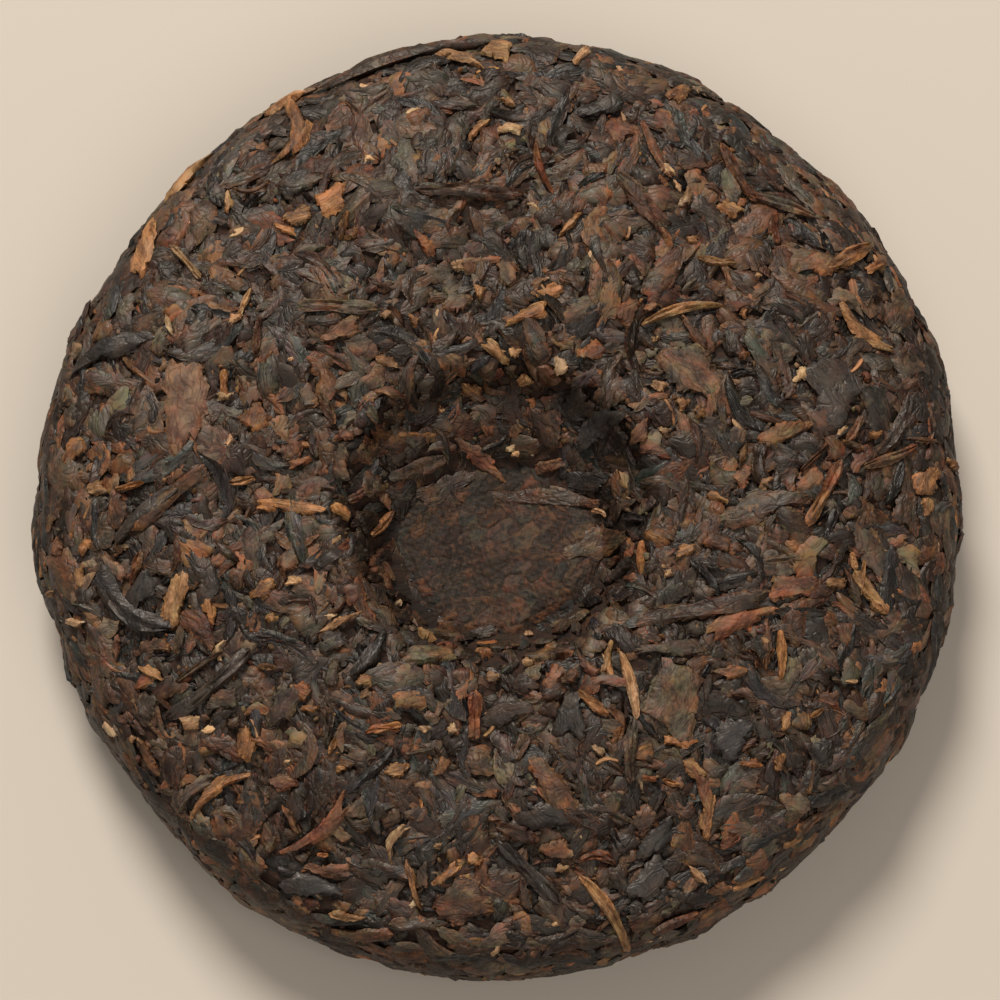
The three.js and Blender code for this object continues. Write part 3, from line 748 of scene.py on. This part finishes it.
def under_named(a, b, side, long_mm):
    """How far each leaf's middle is inside the outline of a listed leaf, from 0 to 1."""
    x, y, turn, long, wide, _ = named_rows.T
    turn = np.radians(turn)
    off_x = a[:, None] - x
    off_y = b[:, None] - y
    room = long_mm[:, None] * NAMED_ROOM
    along = (off_x * np.cos(turn) + off_y * np.sin(turn)) / (long / 2 + room)
    across = (off_y * np.cos(turn) - off_x * np.sin(turn)) / (wide / 2 + room)
    inside = 1 - smooth_step(0.75, 1.15, np.hypot(along, across))
    return inside.max(axis=1) * (side > 0)


def near_wall(x, y, reach):
    """How much the dimple's depth changes within a leaf's reach, as a share of the whole depth."""
    here = dimple_depth(x, y)
    ways = [(1, 0), (-1, 0), (0, 1), (0, -1)]
    changes = [abs(dimple_depth(x + right * reach, y + up * reach) - here) for right, up in ways]
    return np.max(changes, axis=0) / DIMPLE_DEPTH


wall_place = DIMPLE_Y - 0.7 * MOUTH_HALF_Y
print("share of the depth gained in 1 mm:", round(near_wall(DIMPLE_X, wall_place, 1), 2))

# %% [markdown]
# Towards the dimple the leaves lie flatter still. On its walls they are shorter and rooted deeper,
# so that no end sticks out into the hollow, and on its floor they go under the mat made further
# down. A leaf in the way of a listed one is pushed down under it. Leaving it out would be
# simpler, but then a bare ring would show round each of those.

# %% Spreading leaves
UNDERSIDE_SHARE = 0.6
ring_steps = np.diff(lengths) * (radii[1:] + radii[:-1]) / 2
ring_steps = ring_steps * np.where(heights[1:] < CAKE_HEIGHT / 4, UNDERSIDE_SHARE, 1)
areas = np.concatenate([[0], np.cumsum(ring_steps)])
RIM_TURN_START = 43
RIM_TURN_FULL = 50
RIM_TURN_SPREAD = 0.35
RIM_PRESS = 0.25
WALL_SHRINK = 0.5
WALL_ROOT = 5
PUSHED_UNDER = 0.55
FLOOR_PRESSED = 0.95
PRESSED_EASE = 0.6
BELOW_EASE = 0.5
FLAT_SHARE = 0.4
SMALL_LEAN = 1.4
SIZE_IN_WIDTH = 0.6
TURN_JITTER = 0.05
ROOT = 0.7


def spread(rng, count, long, wide, proud, level, deep=ROOT, bend=0.12, tilt=0.05):
    """Random leaves of one kind. Sizes in mm are ranges, and more leaves are near the small end."""
    share = (np.arange(count) + rng.random(count)) / count
    length = np.interp(share * areas[-1], areas, lengths)
    jitter = rng.uniform(-TURN_JITTER, TURN_JITTER, count)
    angle = np.arange(count) * GOLDEN_ANGLE + jitter + rng.uniform(0, 6)
    a, b, side = map_place(length, angle)
    point = skin_point(a, b, side)
    radius = np.hypot(point[:, 0], point[:, 1])
    turn = rng.uniform(0, 2 * math.pi, count)
    on_rim = smooth_step(RIM_TURN_START, RIM_TURN_FULL, radius)
    rimmed = rng.random(count) < on_rim
    along_rim = angle + math.pi / 2 + rng.normal(0, RIM_TURN_SPREAD, count)
    turn = np.where(rimmed, along_rim, turn)
    pressed = np.where(side > 0, dimple_depth(point[:, 0], point[:, 1]) / DIMPLE_DEPTH, 0)
    below = (side < 0) & (radius < RIM_START)
    ease = (1 - PRESSED_EASE * pressed) * np.where(below, BELOW_EASE, 1) * (1 - RIM_PRESS * on_rim)
    size = rng.random(count) ** SMALL_LEAN
    long_mm = long[0] + (long[1] - long[0]) * size
    wall = near_wall(point[:, 0], point[:, 1], long_mm / 2) * (side > 0)
    long_mm = long_mm * (1 - WALL_SHRINK * wall)
    pushed = under_named(a, b, side, long_mm) * PUSHED_UNDER
    pushed = np.where(pressed > FLOOR_PRESSED, pushed + PUSHED_UNDER, pushed)
    wide_share = SIZE_IN_WIDTH * size + (1 - SIZE_IN_WIDTH) * rng.random(count)
    return {
        "a": a, "b": b, "side": side, "turn": turn, "long": long_mm,
        "wide": wide[0] + (wide[1] - wide[0]) * wide_share,
        "bend": rng.normal(0, bend, count) * long_mm,
        "proud": rng.uniform(*proud, count) * (FLAT_SHARE + (1 - FLAT_SHARE) * ease),
        "deep": deep + WALL_ROOT * wall,
        "level": rng.uniform(*level, count) * ease - pushed,
        "tip": rng.normal(0, tilt, count) * ease,
        "roll": rng.normal(0, tilt * 1.3, count) * ease,
        "tone": rng.uniform(0, 1, count),
        "foot": rng.uniform(0, 0.05, count),
        "grain": rng.uniform(0, 400, count),
    }


NAMED_PROUD = {"flake": 0.6, "strip": 0.75, "bud": 0.7}
NAMED_LEVEL = {"flake": 0.22, "strip": 0.3, "bud": 0.32}


def set_by_hand(rng, kind, rows):
    """The listed leaves of one kind and finish."""
    x, y, turn, long, wide, bend = np.array(rows, float).T
    count = len(rows)
    ease = 1 - PRESSED_EASE * dimple_depth(x, y) / DIMPLE_DEPTH
    return {
        "a": x, "b": y, "side": np.ones(count), "turn": np.radians(turn), "long": long,
        "wide": wide, "bend": bend, "proud": NAMED_PROUD[kind] * ease,
        "deep": ROOT + WALL_ROOT * near_wall(x, y, long / 2), "level": NAMED_LEVEL[kind] * ease,
        "tip": np.zeros(count), "roll": np.zeros(count), "tone": rng.uniform(0.35, 0.75, count),
        "foot": np.zeros(count), "grain": rng.uniform(0, 400, count),
    }


print("skin to cover in square cm:", round(2 * math.pi * areas[-1] / 100))

# %% [markdown]
# The leaf material. Ripe pu erh leaf is dry, brittle and nearly black, with a faint grey bloom on
# the flats and brown where it is thin or rubbed. Its patterns read the leaf's own grain map, so
# they run along the leaf. A texture on Object coordinates would be simpler, but it would run
# straight across from leaf to leaf and glue them together to the eye. The map is in millimetres,
# so a scale of 0.55 gives puffs and blotches of 1.8 mm, and one of 3.6 gives grit of 0.3 mm.

# %% Patterns along a leaf
GRAIN_STRETCH = (0.7, 1.15)
PUFF_SCALE = 0.55
CREASE_WIDTH = 0.1
GRIT_SCALE = 3.6
DRIFT_SCALE = 0.42
NOISE_LOW = 0.3
NOISE_HIGH = 0.7


def leaf_patterns(tree, fibre):
    """Puffs between creases, blotches, grit, and a coloured noise for the drift of the hue."""
    grain = add(tree, "ShaderNodeUVMap", uv_map="grain")
    stretch = (GRAIN_STRETCH[0], GRAIN_STRETCH[1] * fibre, 1)
    laid = add(tree, "ShaderNodeMapping", {"Vector": grain.outputs["UV"], "Scale": stretch})
    place = laid.outputs[0]
    # Creases: where a slow noise passes its middle, a soft line is left between puffed cells
    slow = add(tree, "ShaderNodeTexNoise", {"Vector": place, "Scale": PUFF_SCALE, "Detail": 2,
                                            "Roughness": 0.45, "Distortion": 0.9})
    middle = add(tree, "ShaderNodeMath", {0: slow.outputs[0], 1: 0.5}, operation="SUBTRACT")
    away = add(tree, "ShaderNodeMath", {0: middle.outputs[0]}, operation="ABSOLUTE")
    puffs = add(tree, "ShaderNodeMapRange", {"Value": away.outputs[0], "From Max": CREASE_WIDTH},
                interpolation_type="SMOOTHSTEP")
    blotches = add(tree, "ShaderNodeTexNoise",
                   {"Vector": place, "Scale": PUFF_SCALE, "Detail": 5, "Roughness": 0.7})
    grit = add(tree, "ShaderNodeTexNoise",
               {"Vector": place, "Scale": GRIT_SCALE, "Detail": 3, "Roughness": 0.65})
    drift = add(tree, "ShaderNodeTexNoise",
                {"Vector": place, "Scale": DRIFT_SCALE, "Detail": 4, "Roughness": 0.6})
    return puffs.outputs[0], blotches.outputs[0], grit.outputs[0], drift


print("puffs in mm:", round(1 / PUFF_SCALE, 1), "grit in mm:", round(1 / GRIT_SCALE, 1))

# %% [markdown]
# The colour starts from the leaf's tone, which blotches and grit make darker and lighter. The rim
# is lighter in spots: partly rubbed leaf, partly a painted highlight where an edge catches the
# light. Creases and low parts are darkened, which is painted shade. Then the hue drifts between
# olive, russet and slate, as fermented leaf does, and each leaf has a cast of its own. One ramp for
# all leaves would give a cake of a single brown.

# %% Colour of a leaf
HUE_DRIFT = 0.5
COOL_CAST = "#a0bccf"
WARM_CAST = "#cebaa0"
DARK_FROM = 0.1
LIGHT_FROM = 0.98
# Lighter rim spots: partly rubbed leaf, partly a painted highlight where an edge catches the light
RIM_SPOTS_FROM = 0.48
RIM_SPOTS_FULL = 0.66
RIM_SPOTS_SHARE = 0.8
# Painted shade in the creases and on the low parts of each leaf
CREASE_SHADE = 0.65
LOW_SHADE = 0.3


def leaf_colour(tree, hexes, patterns, wrinkle, mottle, speckle, lively):
    puffs, blotches, grit, drift = patterns
    dark, mid, light, rim = [linear(hex_colour) for hex_colour in hexes]
    marks = add(tree, "ShaderNodeAttribute", attribute_name="leaf_marks")
    split = add(tree, "ShaderNodeSeparateColor", {"Color": marks.outputs["Color"]})
    tone, near_rim, rise = split.outputs
    noise_span = {"From Min": NOISE_LOW, "From Max": NOISE_HIGH}
    shade = add(tree, "ShaderNodeMapRange",
                {"Value": blotches, **noise_span, "To Min": -mottle, "To Max": mottle})
    speck = add(tree, "ShaderNodeMapRange",
                {"Value": grit, **noise_span, "To Min": -speckle, "To Max": speckle})
    mixed = add(tree, "ShaderNodeMath", {0: shade.outputs[0], 1: speck.outputs[0]}, operation="ADD")
    toned = add(tree, "ShaderNodeMath", {0: tone, 1: mixed.outputs[0]}, operation="ADD")
    ramp = add(tree, "ShaderNodeValToRGB", {"Fac": toned.outputs[0]})
    ramp.color_ramp.elements[0].color = dark
    ramp.color_ramp.elements[0].position = DARK_FROM
    ramp.color_ramp.elements[1].color = light
    ramp.color_ramp.elements[1].position = LIGHT_FROM
    ramp.color_ramp.elements.new(0.5).color = mid
    # Rim spots take the rim colour: on leaves, rubbed leaf and a painted highlight on lit edges
    rim_spots = add(tree, "ShaderNodeMapRange",
                 {"Value": grit, "From Min": RIM_SPOTS_FROM, "From Max": RIM_SPOTS_FULL, "To Max": RIM_SPOTS_SHARE})
    on_rim = add(tree, "ShaderNodeMath", {0: near_rim, 1: rim_spots.outputs[0]}, operation="MULTIPLY")
    colour = add(tree, "ShaderNodeMix", data_type="RGBA",
                 inputs={"Factor": on_rim.outputs[0], "A": ramp.outputs["Color"], "B": rim})
    # Painted shade: creases and low-standing corners are darkened, as shade would fall there
    hollow = add(tree, "ShaderNodeMapRange",
                 {"Value": puffs, "To Min": 1 - CREASE_SHADE * wrinkle, "To Max": 1.05})
    low = add(tree, "ShaderNodeMapRange",
              {"Value": rise, "From Min": 0.1, "From Max": 0.45, "To Min": LOW_SHADE})
    depth = add(tree, "ShaderNodeMath", {0: hollow.outputs[0], 1: low.outputs[0]},
                operation="MULTIPLY")
    wander = add(tree, "ShaderNodeMapRange",
                 {"Value": drift.outputs[0], **noise_span, "To Min": -0.5, "To Max": 0.5})
    own = add(tree, "ShaderNodeMath", {0: marks.outputs["Alpha"], 1: wander.outputs[0]},
              operation="ADD")
    cast = add(tree, "ShaderNodeValToRGB", {"Fac": own.outputs[0]})
    cast.color_ramp.elements[0].color = linear(COOL_CAST)
    cast.color_ramp.elements[1].color = linear(WARM_CAST)
    layers = [("MULTIPLY", 1, depth.outputs[0]),
              ("OVERLAY", HUE_DRIFT * lively, drift.outputs["Color"]),
              ("OVERLAY", lively, cast.outputs["Color"])]
    for blend, factor, layer in layers:
        colour = add(tree, "ShaderNodeMix", data_type="RGBA", blend_type=blend,
                     inputs={"Factor": factor, "A": colour.outputs["Result"], "B": layer})
    return colour.outputs["Result"]


print("casts:", COOL_CAST, "to", WARM_CAST)

# %% [markdown]
# All finishes of the cake's leaves come from one function, because they differ in colour, gloss
# and wrinkles alone. Dry leaf is an organic surface with an index of refraction near 1.45, and its
# roughness tells a waxy flat from a downy bud. Creases are 0.2 mm deep and grit 0.1 mm, too low
# for the mesh, so a bump is enough for them.

# %% Leaf finishes
GRIT_DEEP = 0.1 * MM
CREASE_DEEP = 0.22 * MM
LEAF_IOR = 1.45
GLOSS_BELOW = 0.13
GLOSS_ABOVE = 0.2


def leaf_material(name, *hexes, rough=0.55, wrinkle=0.38, fibre=1, mottle=0.5, speckle=0.18,
                  lively=1):
    """Dried leaf. The four colours are for its dark parts, its middle, its light parts, its rim.
    On leaves the rim colour is rubbed leaf and a painted highlight, on the mat painted shade in
    cracks.
    """
    material, tree = new_material(name)
    patterns = leaf_patterns(tree, fibre)
    puffs, _, grit, _ = patterns
    colour = leaf_colour(tree, hexes, patterns, wrinkle, mottle, speckle, lively)
    gloss = add(tree, "ShaderNodeMapRange",
                {"Value": grit, "From Min": NOISE_LOW, "From Max": NOISE_HIGH,
                 "To Min": rough - GLOSS_BELOW, "To Max": rough + GLOSS_ABOVE})
    fine = add(tree, "ShaderNodeBump", {"Height": grit, "Strength": 0.45, "Distance": GRIT_DEEP})
    bump = add(tree, "ShaderNodeBump", {"Height": puffs, "Normal": fine.outputs[0],
                                        "Strength": wrinkle, "Distance": CREASE_DEEP})
    close_material(tree, add(tree, "ShaderNodeBsdfPrincipled",
                             {"Base Color": colour, "Roughness": gloss.outputs[0],
                              "Normal": bump.outputs[0], "IOR": LEAF_IOR}))
    return material


# Torn leaf, pressed flat: nearly black, with a low sheen that catches the light on its puffs
dark_leaf = leaf_material("crumpled_dark_leaf", "#190d08", "#2f221a", "#5a4232", "#785740",
                          rough=0.48)
# Leaf that was rolled before it dried: the darkest and a little glossy, fibrous along its length
rolled_leaf = leaf_material("rolled_dark_leaf", "#150f0e", "#2b2422", "#4d4037", "#694f3b",
                            rough=0.44, fibre=1.4)
# Older, coarser leaf dries to a dull mid brown, torn or rolled
brown_leaf = leaf_material("crumpled_brown_leaf", "#24130b", "#493224", "#7a5a42", "#947051",
                           rough=0.58)
rolled_brown = leaf_material("rolled_brown_leaf", "#24130b", "#4a3324", "#75543f", "#8c694f",
                             rough=0.53, fibre=1.4)
# Leaf that had reddened before it was piled: the warm flecks of the cake
russet_leaf = leaf_material("russet_leaf", "#371c12", "#5f3a28", "#885d42", "#997052", rough=0.6,
                            lively=0.7)
# Smooth leaf with the grey bloom of the fermentation: cool and the least wrinkled
slate_leaf = leaf_material("grey_bloom_leaf", "#151112", "#292423", "#3b3330", "#4b3f37",
                           rough=0.45, wrinkle=0.3, mottle=0.6, lively=0.5)
# The skin of stalks, woody and dry: light, with fibres along it
stalk_skin = leaf_material("dry_stalk", "#3c2415", "#755030", "#a97d54", "#b89063", wrinkle=0.3,
                           fibre=1.5, lively=0.4)
# Buds under a golden down, which makes them the lightest and quite matt
bud_down = leaf_material("golden_bud", "#503723", "#8e6d4e", "#c0a07b", "#d0b492", rough=0.62,
                         wrinkle=0.25, fibre=1.3, lively=0.3)
# Bits broken off leaves and buds: matt, because every side is a torn edge
crumb_dark = leaf_material("leaf_crumb", "#160b07", "#2c1e16", "#4d3626", "#5b422f", rough=0.7)
crumb_light = leaf_material("bud_crumb", "#342012", "#63462e", "#8c694d", "#987657", rough=0.7)
# Leaf that the knot pressed to one skin: matt and finely mottled. Its dark rim colour is painted
# shade in the cracks between its leaves
pressed_leaf = leaf_material("knot_pressed_leaf", "#180e09", "#2d2018", "#503829", "#160c07",
                             rough=0.72, wrinkle=0.1, mottle=0.6, speckle=0.6)
print("finishes so far:", len(bpy.data.materials))

# %% [markdown]
# Under the leaves is the mass of the cake. It shows only in the cracks, as a dark, rough ground.
# A ball from create_icosphere is spread over the skin, equal areas kept equal, and set in from it
# by a third of a millimetre, so that the leaves cover it. The CAD cake itself could be the ground,
# but its fused leaves don't lie where these leaves do.

# %% The pressed core
CORE_INSET = 0.35
CORE_ROUGH = 0.14
CORE_FOOT = 0.02


def pressed_core():
    shape = bmesh.new()
    bmesh.ops.create_icosphere(shape, subdivisions=7, radius=1)
    corners = np.array([vert.co for vert in shape.verts])
    angle = np.arctan2(corners[:, 1], corners[:, 0])
    share = (1 - corners[:, 2]) / 2
    sweep = np.concatenate([[0], np.cumsum(np.diff(lengths) * (radii[1:] + radii[:-1]) / 2)])
    length = np.interp(share * sweep[-1], sweep, lengths)
    place, _, _, normal = skin_frame(*map_place(length, angle))
    rough = np.random.default_rng(11).normal(0, CORE_ROUGH, len(place)) - CORE_INSET
    place += normal * rough[:, None]
    place[:, 2] = np.maximum(place[:, 2], CORE_FOOT)
    for vert, point in zip(shape.verts, place * MM):
        vert.co = point
    mesh = bpy.data.meshes.new("pressed_core")
    shape.to_mesh(mesh)
    shape.free()
    return link_object("pressed_core", mesh)


core = pressed_core()
print("pressed_core triangles:", len(core.data.polygons))

# %% [markdown]
# Packed leaf dust fills the cracks: almost black and matt, because light is caught in it. This
# one reads Object coordinates, as dust has no grain to follow. They are in metres, so the scale
# is given as specks to a millimetre: 0.9, for specks of 1.1 mm.

# %% Finish of the core
DUST_SCALE = 0.9 / MM
DUST_DEEP = 0.2 * MM

core_finish, tree = new_material("packed_leaf_dust")
where = add(tree, "ShaderNodeTexCoord")
dust = add(tree, "ShaderNodeTexNoise", {"Vector": where.outputs["Object"], "Scale": DUST_SCALE,
                                        "Detail": 4, "Roughness": 0.7})
ramp = add(tree, "ShaderNodeValToRGB", {"Fac": dust.outputs[0]})
ramp.color_ramp.elements[0].color = linear("#150a05")
ramp.color_ramp.elements[0].position = 0.35
ramp.color_ramp.elements[1].color = linear("#3c2213")
ramp.color_ramp.elements[1].position = 0.75
bump = add(tree, "ShaderNodeBump",
           {"Height": dust.outputs[0], "Strength": 0.6, "Distance": DUST_DEEP})
close_material(tree, add(tree, "ShaderNodeBsdfPrincipled",
                         {"Base Color": ramp.outputs["Color"], "Normal": bump.outputs[0],
                          "Roughness": 0.85}))
core.data.materials.append(core_finish)
print("dust specks in mm:", round(1 / DUST_SCALE / MM, 1))

# %% [markdown]
# The knot of the cloth bag presses the dimple's floor smooth. Its leaves are flattened to one mat,
# in which each still shows as a flat patch with a crack round it. Leaves laid one by one could
# make it, as outside the dimple, but their ends would stand up where the knot has pressed them
# down. So each corner of the mat looks up which flat leaf it falls on and how near it is to the
# next leaf, and a wave in the distances keeps the cracks from being straight.

# %% The mat's flat leaves
MAT_HALF_X = 13.2
MAT_HALF_Y = 11
MAT_LEAVES = 170
MAT_LEAF_STRETCH = 1.9


def mat_leaves(rng, a, b):
    """Each corner's leaf, its place along and across that leaf, and its distance to a crack."""
    leaf_a = DIMPLE_X + MAT_HALF_X * rng.uniform(-1, 1, MAT_LEAVES)
    leaf_b = DIMPLE_Y + MAT_HALF_Y * rng.uniform(-1, 1, MAT_LEAVES)
    turn = rng.uniform(0, math.pi, MAT_LEAVES)
    wave = 0.5 * np.sin(1.3 * b + 1) + 0.3 * np.sin(2.9 * a + 2) * np.sin(2.3 * b)
    off_a = a[:, None] + wave[:, None] - leaf_a
    off_b = b[:, None] + 0.4 * wave[:, None] - leaf_b
    along = off_a * np.cos(turn) + off_b * np.sin(turn)
    across = off_b * np.cos(turn) - off_a * np.sin(turn)
    away = np.hypot(along / MAT_LEAF_STRETCH, across) * rng.uniform(0.8, 1.25, MAT_LEAVES)
    order = np.argsort(away, axis=1)
    nearest = order[:, 0]
    corner = np.arange(len(a))
    gap = away[corner, order[:, 1]] - away[corner, nearest]
    return nearest, along[corner, nearest], across[corner, nearest], gap


print("mat in mm:", 2 * MAT_HALF_X, "by", 2 * MAT_HALF_Y)

# %% [markdown]
# Two reliefs lie over the whole mat: low lumps, where crumbs are pressed in under it, and the
# print of the bag's weave, with threads about 0.3 mm apart, which comes and goes. Both are real
# relief in the mesh. A bump texture could draw them, but then the shape itself would be flat.

# %% The mat's relief
LUMP_WAVES = 9
LUMP_LENGTH = 1.9
LUMP_STEP = 0.86
LUMP_HEIGHT = 0.06
THREAD_SPACING = 0.34
THREAD_PRINT = 0.04
THREAD_LEAN = 0.6


def mat_lumps(a, b):
    lumps = 0
    for i in range(LUMP_WAVES):
        way = a * math.cos(GOLDEN_ANGLE * i) + b * math.sin(GOLDEN_ANGLE * i)
        lumps = lumps + np.sin(2 * math.pi * way / (LUMP_LENGTH * LUMP_STEP**i) + 5 * i)
    return lumps / math.sqrt(LUMP_WAVES)


def thread_print(a, b):
    u = (a + THREAD_LEAN * b) * math.pi / THREAD_SPACING
    v = (b - THREAD_LEAN * a) * math.pi / THREAD_SPACING
    share = np.clip(0.6 + 0.6 * np.sin(0.9 * a) * np.sin(0.7 * b + 1), 0, 1)
    return THREAD_PRINT * np.sin(u) * np.sin(v) * share


print("threads apart in mm:", round(THREAD_SPACING / math.hypot(1, THREAD_LEAN), 2))

# %% [markdown]
# The mat itself is a fine grid, closed below and rounded to an oval. Its edge sinks into the
# walls, and its tone is lighter towards the lower right. The core could carry this relief, but a
# mesh of its own can be much finer.

# %% The floor of the dimple
MAT_CELLS = (240, 200)
MAT_LEVEL = 0.15
MAT_ROOT = 9
MAT_SINK = 0.8
LEAF_STEP = 0.1
LEAF_TILT = 0.03
CRACK_WIDTH = 0.15
CRACK_DEPTH = 0.07
LUMP_TONE = 0.14
LOWER_RIGHT_TONE = 0.3


def pressed_floor():
    rng = np.random.default_rng(21)
    shape = bmesh.new()
    bmesh.ops.create_grid(shape, x_segments=MAT_CELLS[0], y_segments=MAT_CELLS[1], size=1)
    close_below(shape)
    arrays = shape_arrays(shape)
    x, y, z = arrays["corners"].T
    round_x = x * np.sqrt(1 - y * y / 2)
    round_y = y * np.sqrt(1 - x * x / 2)
    a = DIMPLE_X + MAT_HALF_X * round_x
    b = DIMPLE_Y + MAT_HALF_Y * round_y
    nearest, along, across, gap = mat_leaves(rng, a, b)
    # The crack mark takes the finish's dark rim colour: painted shade in the cracks
    crack = np.exp(-((gap / CRACK_WIDTH) ** 2))
    lumps = mat_lumps(a, b)
    height = MAT_LEVEL + rng.uniform(0, LEAF_STEP, MAT_LEAVES)[nearest]
    height += LEAF_TILT * across * rng.normal(0, 1, MAT_LEAVES)[nearest]
    height += LUMP_HEIGHT * lumps + thread_print(a, b) - CRACK_DEPTH * crack
    out = np.hypot(round_x, round_y)
    height -= MAT_SINK * smooth_step(0.7, 1, out + 0.05 * np.sin(5 * np.arctan2(b, a) + 1))
    place, _, _, normal = skin_frame(a, b, np.ones(len(a)))
    points = place + normal * np.where(z < -0.5, -MAT_ROOT, height)[:, None]
    # The tone grows lighter towards the lower right of the mat
    lower_right = smooth_step(-0.4, 1, 0.7 * round_x - 0.6 * round_y)
    tone = rng.uniform(0.15, 0.6, MAT_LEAVES)[nearest] + LUMP_TONE * lumps + LOWER_RIGHT_TONE * lower_right
    cast = (nearest * GOLDEN_ANGLE) % 1
    marks = np.stack([tone, crack, np.clip(0.5 + height, 0.1, 1), cast], -1)
    grain = np.stack([along + 9 * nearest, across + 5 * nearest], -1)
    cells = 0.5 + 0.49 * arrays["corners"][arrays["loops"]][:, :2]
    cells = np.where(arrays["upward"][:, None], cells * (1, 0.96) + (0, 0.04), cells * (1, 0.03))
    return mesh_object("pressed_floor", {
        "points": points, "marks": marks, "grain": grain, "cells": cells,
        "loops": arrays["loops"], "sizes": arrays["sizes"],
    })


floor_mat = pressed_floor()
floor_mat.data.materials.append(pressed_leaf)

# %% [markdown]
# Now the leaves themselves, kind by kind: big dark ones first, then the scraps and crumbs between
# them. Each kind is one joined mesh of a few repeated shapes. A mesh for each leaf would look the
# same, but nobody can find their way among eleven thousand objects.

# %% The spread leaves
shape_rng = np.random.default_rng(5)
flakes = [flake(shape_rng, (7, 5), folds=2, tear=tear) for tear in (0.06, 0.1, 0.17, 0.2) * 4]
small_flakes = [flake(shape_rng, (5, 4), folds=2, tear=0.2) for _ in range(12)]
strips = [strip(shape_rng, (9, 4), ridges=int(shape_rng.integers(1, 4))) for _ in range(16)]
stalks = [stalk(shape_rng) for _ in range(8)]
buds = [flake(shape_rng, (5, 4), folds=3, tear=0.26) for _ in range(10)]
crumbs = [crumb(shape_rng) for _ in range(12)]

rng = np.random.default_rng(357)
pieces = [core, floor_mat]


def grow(name, material, *groups):
    piece = join_leaves(name, groups)
    piece.data.materials.append(material)
    pieces.append(piece)


# Name, finish, shapes, count, then ranges in mm of length, width, height and level
KINDS = [
    ("dark_flakes", dark_leaf, flakes, 1900, (2.6, 7.2), (1.7, 4), (0.35, 0.75), (-0.2, 0.22), {}),
    ("brown_flakes", brown_leaf, flakes, 1150, (2.4, 6), (1.5, 3.4), (0.35, 0.7), (-0.18, 0.22),
     {}),
    ("dark_strips", rolled_leaf, strips, 1700, (3.5, 10), (0.8, 2.2), (0.45, 0.85), (-0.16, 0.24),
     {"bend": 0.17}),
    ("brown_strips", rolled_brown, strips, 800, (3, 8), (0.7, 1.7), (0.4, 0.7), (-0.14, 0.24),
     {"bend": 0.17}),
    ("dark_scraps", dark_leaf, small_flakes, 900, (1.3, 3), (0.8, 1.9), (0.25, 0.5), (0, 0.26),
     {"deep": 0.5}),
    ("brown_scraps", brown_leaf, small_flakes, 800, (1.1, 2.8), (0.7, 1.6), (0.25, 0.5), (0, 0.26),
     {"deep": 0.5}),
    ("stalks", stalk_skin, stalks, 130, (2.2, 6), (0.45, 0.9), (0.3, 0.6), (-0.1, 0.25),
     {"bend": 0.1}),
    ("buds", bud_down, buds, 240, (0.9, 2.8), (0.5, 1.1), (0.3, 0.55), (-0.1, 0.2), {}),
    ("dark_crumbs", crumb_dark, crumbs, 2400, (0.5, 1.6), (0.4, 1.1), (0.3, 0.6), (-0.1, 0.22),
     {"deep": 0.4}),
    ("light_crumbs", crumb_light, crumbs, 1000, (0.4, 1.3), (0.35, 0.9), (0.3, 0.5), (-0.05, 0.22),
     {"deep": 0.4}),
]
for name, finish, shapes, *sizes, settings in KINDS:
    grow(name, finish, (shapes, spread(rng, *sizes, **settings)))

# %% [markdown]
# The listed leaves show most, so each gets a finer shape of its own, with more folds. The
# repeated shapes would do from afar, but here two alike side by side would catch the eye.

# %% The listed leaves
SHAPERS = {
    "flake": lambda: flake(shape_rng, (14, 8), folds=7, tear=0.16),
    "strip": lambda: strip(shape_rng, (16, 6), ridges=int(shape_rng.integers(1, 3)), tear=0.06),
    "bud": lambda: flake(shape_rng, (10, 5), folds=4, tear=0.2),
}
FINISHES = {"slate": slate_leaf, "umber": dark_leaf, "brown": brown_leaf, "russet": russet_leaf,
            "amber": stalk_skin, "straw": bud_down}
for finish, kinds in NAMED_LEAVES.items():
    groups = [([SHAPERS[kind]() for _ in rows], set_by_hand(rng, kind, rows))
              for kind, rows in kinds.items()]
    grow(finish + "_leaves", FINISHES[finish], *groups)

# %% [markdown]
# Everything that replaces the CAD cake is tied to it: each piece rides on the one body, and the
# CAD cake itself is hidden.

# %% Tie the pieces to the frame
for piece in pieces:
    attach(piece, "root")
    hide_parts("tea_cake")
